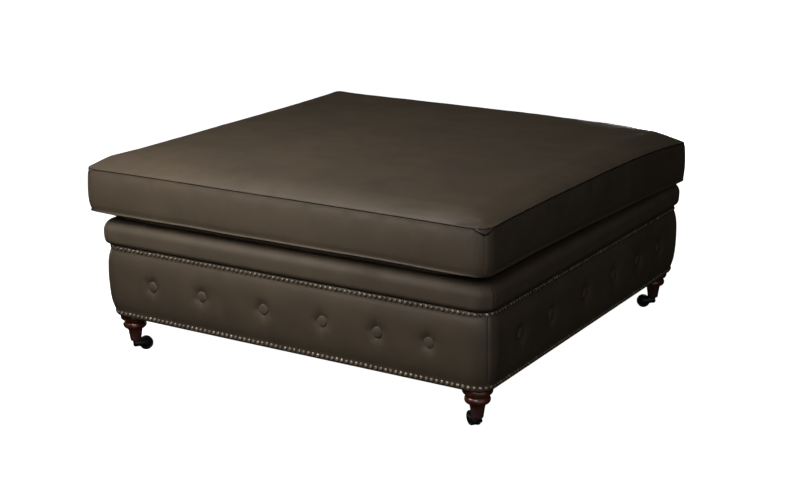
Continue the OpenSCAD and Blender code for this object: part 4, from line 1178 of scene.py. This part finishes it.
class POUF_OT_cloths(bpy.types.Operator):
    """Stretch the platform cloth and tack on the dust cover"""
    bl_idname = "pouf.cloths"
    bl_label = "Cloths"

    def cloth(self, low, high, thick, shape):
        """A square cloth with its own thickness. Shape gives its height at each point and edge distance."""
        line = spaced(high.x - low.x, 8 * MM, np.array([0, 1, 2.5, 5]) * MM) + low.x
        x, y = np.meshgrid(line, line)
        edge = high.x - np.maximum(np.abs(x), np.abs(y))
        flat = np.column_stack([x.ravel(), y.ravel(), np.zeros(x.size)])
        upper = flat + [0, 0, 1] * shape(flat, edge.ravel())[:, None]
        n = len(line)
        faces = strip_faces(n, n) + [f[::-1] for f in strip_faces(n, n, start=n * n)]
        numbers = np.arange(n * n).reshape(n, n)
        rim = [int(k) for q in range(4) for k in np.rot90(numbers, q)[0, :-1]]
        faces += [(b, a, a + n * n, b + n * n) for a, b in zip(rim, rim[1:] + rim[:1])]
        return np.concatenate([upper, upper - [0, 0, thick]]), faces

    def execute(self, context):
        def platform(flat, edge):
            pull = ripple(flat, 0.05, 3.3) * bell(edge, 40 * MM) + 1.5 * ripple(flat, 0.2, 1.9)
            return DECK_LOW.z + 1.25 * MM + 0.35 * MM * np.clip(pull, -1, 1)

        def dust(flat, edge):
            sag = 2.5 * MM * np.minimum(1, edge / (250 * MM)) ** 0.6
            pull = 0.7 * MM * np.abs(ripple(flat, 0.04, 6.2)) * bell(edge, 60 * MM)
            return DUST_HIGH.z - 0.1 * MM - sag - pull

        for name, low, high, thick, shape, node, under in (
                ("platform_cloth", DECK_LOW, DECK_HIGH, 0.8 * MM, platform, "deck_cloth", "deck_pad"),
                ("dust_cloth", DUST_LOW, DUST_HIGH, 0.6 * MM, dust, "dust_cover", "lower_rail_front")):
            piece = make_piece(name, self.cloth(low, high, thick, shape), "lining_cloth", "base",
                               "black_cloth", (node,))
        return {"FINISHED"}


class POUF_OT_legs(bpy.types.Operator):
    """Turn and polish the legs"""
    bl_idname = "pouf.legs"
    bl_label = "Turned legs"

    def execute(self, context):
        top = (LEG_HIGH.z - LEG_LOW.z) / MM
        profile = [(0, 0), *arc_points(9, 3.5, 3.5, -90, 0, 8), (12.9, 8), (14.2, 17), (15.6, 25), (16.3, 28),
                   (17, 30), *arc_points(17.4, 40.4, 9, -78, 76, 22), *arc_points(21.2, 50.2, 1, -80, 60, 4),
                   *arc_points(22.9, 59.2, 8.2, -84, 84, 22), (22.5, top - 0.4), (21.5, top), (0, top)]
        points, faces = lathe(np.array(profile) * MM, 96)
        rise = points[:, 2]
        # The neck mark takes the painted warm glow between the rings; the shaft mark takes a duller mauve brown.
        neck = 0.75 * bell(rise - 51 * MM, 4 * MM) + 0.5 * bell(rise - 31 * MM, 3 * MM)
        shaft = np.clip((29 * MM - rise) / (10 * MM), 0, 1) * 0.85
        for name in CORNERS:
            leg = placed((points, faces), move(*SWIVELS[name][:2], LEG_LOW.z))
            make_piece(f"turned_leg_{name}", leg, "polished_mahogany", "base", "mahogany", (f"leg_{name}",),
                       neck=neck, shaft=shaft)
        return {"FINISHED"}


class POUF_OT_castors(bpy.types.Operator):
    """Cast the horns and mould the wheels"""
    bl_idname = "pouf.castors"
    bl_label = "Castors"

    def horn(self, trail, wide):
        """A castor's hub, stem, bridge and two cheeks. Trail and half width are in millimetres."""
        hub_top, stem_top, axle = LEG_LOW.z / MM - 1.5, HORN_TOP / MM, WHEEL_RADIUS / MM
        gap, thick = wide + 0.5, 1.8
        hub = [(0, 10), *arc_points(4.3, 12.4, 2.4, -90, 0, 6), (6.7, hub_top - 2.2),
               *arc_points(5.6, hub_top - 1.2, 1.2, 0, 90, 5), (0, hub_top)]
        stem = [(0, hub_top - 0.5), (3.5, hub_top - 0.5), (3.5, stem_top - 0.5), (3, stem_top), (0, stem_top)]
        cheek = arc_points(trail, axle, 6.5, -105, 78, 16) + arc_points(-0.5, axle + 1.6, 5, 78, 255, 16)
        bridge = [(3.5, -5.4), (3.5, -1.5), (3, -1), (-3.4, -1), (-4, -5.2), (-3.4, -6), (3, -6)]
        crown = plate(np.array(bridge) + [0, hub_top], -gap - 0.9, gap + 0.9, 0.3)
        cheeks = [plate(cheek, low, low + thick, 0.5) for low in (-gap - thick, gap)]
        return gather([lathe(np.array(hub) * MM, 48), lathe(np.array(stem) * MM, 32)]
                      + [placed(part, spin(math.pi / 2, "X")) for part in [crown] + cheeks])

    def wheel(self, wide):
        """A wheel about the upright axis, sunk on both faces. Its half width is in millimetres."""
        radius, count = WHEEL_RADIUS / MM, 64
        face = [(2.2, -wide), (5.2, -wide), (6, 0.5 - wide), (6.6, 1.1 - wide), (10.6, 1.1 - wide),
                (11.6, 0.5 - wide)]
        tread = arc_points(radius - 2.6, 2.6 - wide, 2.6, -90, 0, 8) + [(radius, -1.5), (radius, 1.5)]
        tread += arc_points(radius - 2.6, wide - 2.6, 2.6, 0, 90, 8)
        outline = face + tread + [(r, -z) for r, z in face[::-1]]
        return rings(np.array(outline) * MM, count), tube_faces(len(outline), count)

    def execute(self, context):
        half_wide = 6.5
        for name in CORNERS:
            swivel, axle = Vector(SWIVELS[name]), Vector(JOINTS[f"wheel_spin_{name}"]["pos_m"])
            trail = (axle - swivel).xy.length
            heading = math.atan2(axle.y - swivel.y, axle.x - swivel.x)
            spot = move(swivel.x, swivel.y, 0) @ spin(heading, "Z")
            make_piece(f"cast_horn_{name}", placed(self.horn(trail / MM, half_wide), spot), "black_enamel",
                       f"castor_{name}", "dark_metal", (f"castor_horn_{name}",))
            on_axle = spot @ move(trail, 0, WHEEL_RADIUS) @ spin(math.pi / 2, "X")
            make_piece(f"moulded_wheel_{name}", placed(self.wheel(half_wide), on_axle), "moulded_black",
                       f"wheel_{name}", "black_plastic", (f"castor_wheel_{name}",))
        return {"FINISHED"}


class POUF_OT_hidden(bpy.types.Operator):
    """Finish the frame, padding and fixings that the covers hide"""
    bl_idname = "pouf.hidden"
    bl_label = "Frame and padding"

    def execute(self, context):
        finishes = {"raw_wood": "sawn_hardwood", "foam": "upholstery_foam", "jute": "jute_web",
                    "black_cloth": "lining_cloth", "steel": "zinc_plate", "dark_metal": "black_enamel",
                    "black_plastic": "moulded_black", "mahogany": "polished_mahogany",
                    "old_brass": "zinc_plate", "base_leather": "taupe_hide", "cushion_leather": "taupe_hide"}
        for part in frame["record"]["subparts"]:
            node = part["node"]
            finished = "black_enamel" if node.startswith("castor_axle") else finishes[part["material_slot"]]
            materials = frame["nodes"][node].data.materials
            materials.clear()
            materials.append(finish(finished))
        return {"FINISHED"}


class POUF_OT_stage(bpy.types.Operator):
    """Set the floor, the lights and the camera"""
    bl_idname = "pouf.stage"
    bl_label = "Studio"

    def camera(self, scene, stage):
        """The camera, turned about its target to the photo's view."""
        back = Vector((math.sin(stage.azimuth) * math.cos(stage.elevation),
                       -math.cos(stage.azimuth) * math.cos(stage.elevation), math.sin(stage.elevation)))
        lens = bpy.data.cameras.new("camera")
        lens.sensor_width = 36.0
        lens.lens = stage.focal_px / stage.picture_px * lens.sensor_width
        scene.camera = bpy.data.objects.new("camera", lens)
        turn = (-back).to_track_quat("-Z", "Y").to_matrix().to_4x4() @ spin(stage.roll, "Z")
        scene.camera.matrix_world = move(*(Vector(stage.target) + back * stage.distance)) @ turn
        scene.collection.objects.link(scene.camera)

    def floor(self, scene, stage):
        """A plain white floor that glows evenly and takes no part in the pouf's light."""
        mesh = bpy.data.meshes.new("floor")
        corners = [(FLOOR_REACH * x, FLOOR_REACH * y, 0) for x, y in ((-1, -1), (1, -1), (1, 1), (-1, 1))]
        mesh.from_pydata(corners, [], [(0, 1, 2, 3)])
        floor = bpy.data.objects.new("floor", mesh)
        paper = bpy.data.materials.new("pale_floor")
        paper.use_nodes = True
        surface = paper.node_tree.nodes["Principled BSDF"].inputs
        for key, value in {"Base Color": (0.86, 0.86, 0.86, 1), "Roughness": 0.9, "Specular IOR Level": 0.0,
                           "Emission Color": (1, 1, 1, 1), "Emission Strength": stage.floor}.items():
            surface[key].default_value = value
        mesh.materials.append(paper)
        scene.collection.objects.link(floor)
        floor.visible_diffuse = False
        floor.visible_glossy = False

    def lights(self, scene, stage):
        """The soft boxes, and an even world that looks white from the camera."""
        for name, (place, size, power) in SOFT_BOXES.items():
            lamp = bpy.data.lights.new(name, "AREA")
            lamp.energy = power * stage.light
            lamp.size = size
            held = bpy.data.objects.new(name, lamp)
            held.location = place
            to_pouf = Vector(LIGHT_AIM) - Vector(place)
            held.rotation_euler = to_pouf.to_track_quat("-Z", "Y").to_euler()
            scene.collection.objects.link(held)
        world = bpy.data.worlds.new("studio")
        world.use_nodes = True
        graph = Graph(world.node_tree)
        light = graph.tree.nodes["Background"].inputs
        light["Color"].default_value = (1, 1, 1, 1)
        seen = graph.add("ShaderNodeLightPath").outputs["Is Camera Ray"]
        graph.tree.links.new(graph.reckon("MAXIMUM", seen, stage.sky), light["Strength"])
        scene.world = world

    def execute(self, context):
        for step in (self.camera, self.floor, self.lights):
            step(context.scene, context.scene.pouf_stage)
        context.scene.view_settings.view_transform = "Standard"
        return {"FINISHED"}


class POUF_PT_panel(bpy.types.Panel):
    """The pouf's sizes and the steps that make it"""
    bl_label = "Tufted Pouf"
    bl_idname = "POUF_PT_panel"
    bl_space_type = "VIEW_3D"
    bl_region_type = "UI"
    bl_category = "Pouf"

    def draw(self, context):
        for operator in OPERATORS:
            self.layout.operator(operator.bl_idname)
        for group, owner in GROUPS.items():
            box = self.layout.box()
            for name in group.__annotations__:
                box.prop(getattr(context.scene, owner), name)


GROUPS = {PoufCushion: "pouf_cushion", PoufBase: "pouf_base", PoufFinish: "pouf_finish",
          PoufStage: "pouf_stage"}
OPERATORS = (POUF_OT_stage, POUF_OT_cushion, POUF_OT_zip, POUF_OT_cloths, POUF_OT_roll, POUF_OT_sides,
             POUF_OT_buttons, POUF_OT_nails, POUF_OT_legs, POUF_OT_castors, POUF_OT_hidden)


def register():
    for made in (*GROUPS, *OPERATORS, POUF_PT_panel):
        bpy.utils.register_class(made)
    for group, name in GROUPS.items():
        setattr(bpy.types.Scene, name, PointerProperty(type=group))


def unregister():
    for name in GROUPS.values():
        delattr(bpy.types.Scene, name)
    for made in reversed((*GROUPS, *OPERATORS, POUF_PT_panel)):
        bpy.utils.unregister_class(made)


def main():
    register()
    bpy.ops.pouf.stage()
    bpy.ops.pouf.cushion()
    bpy.ops.pouf.zip()
    bpy.ops.pouf.cloths()
    bpy.ops.pouf.roll()
    bpy.ops.pouf.sides()
    bpy.ops.pouf.buttons()
    bpy.ops.pouf.nails()
    bpy.ops.pouf.legs()
    bpy.ops.pouf.castors()
    bpy.ops.pouf.hidden()


if __name__ == "__main__":
    main()
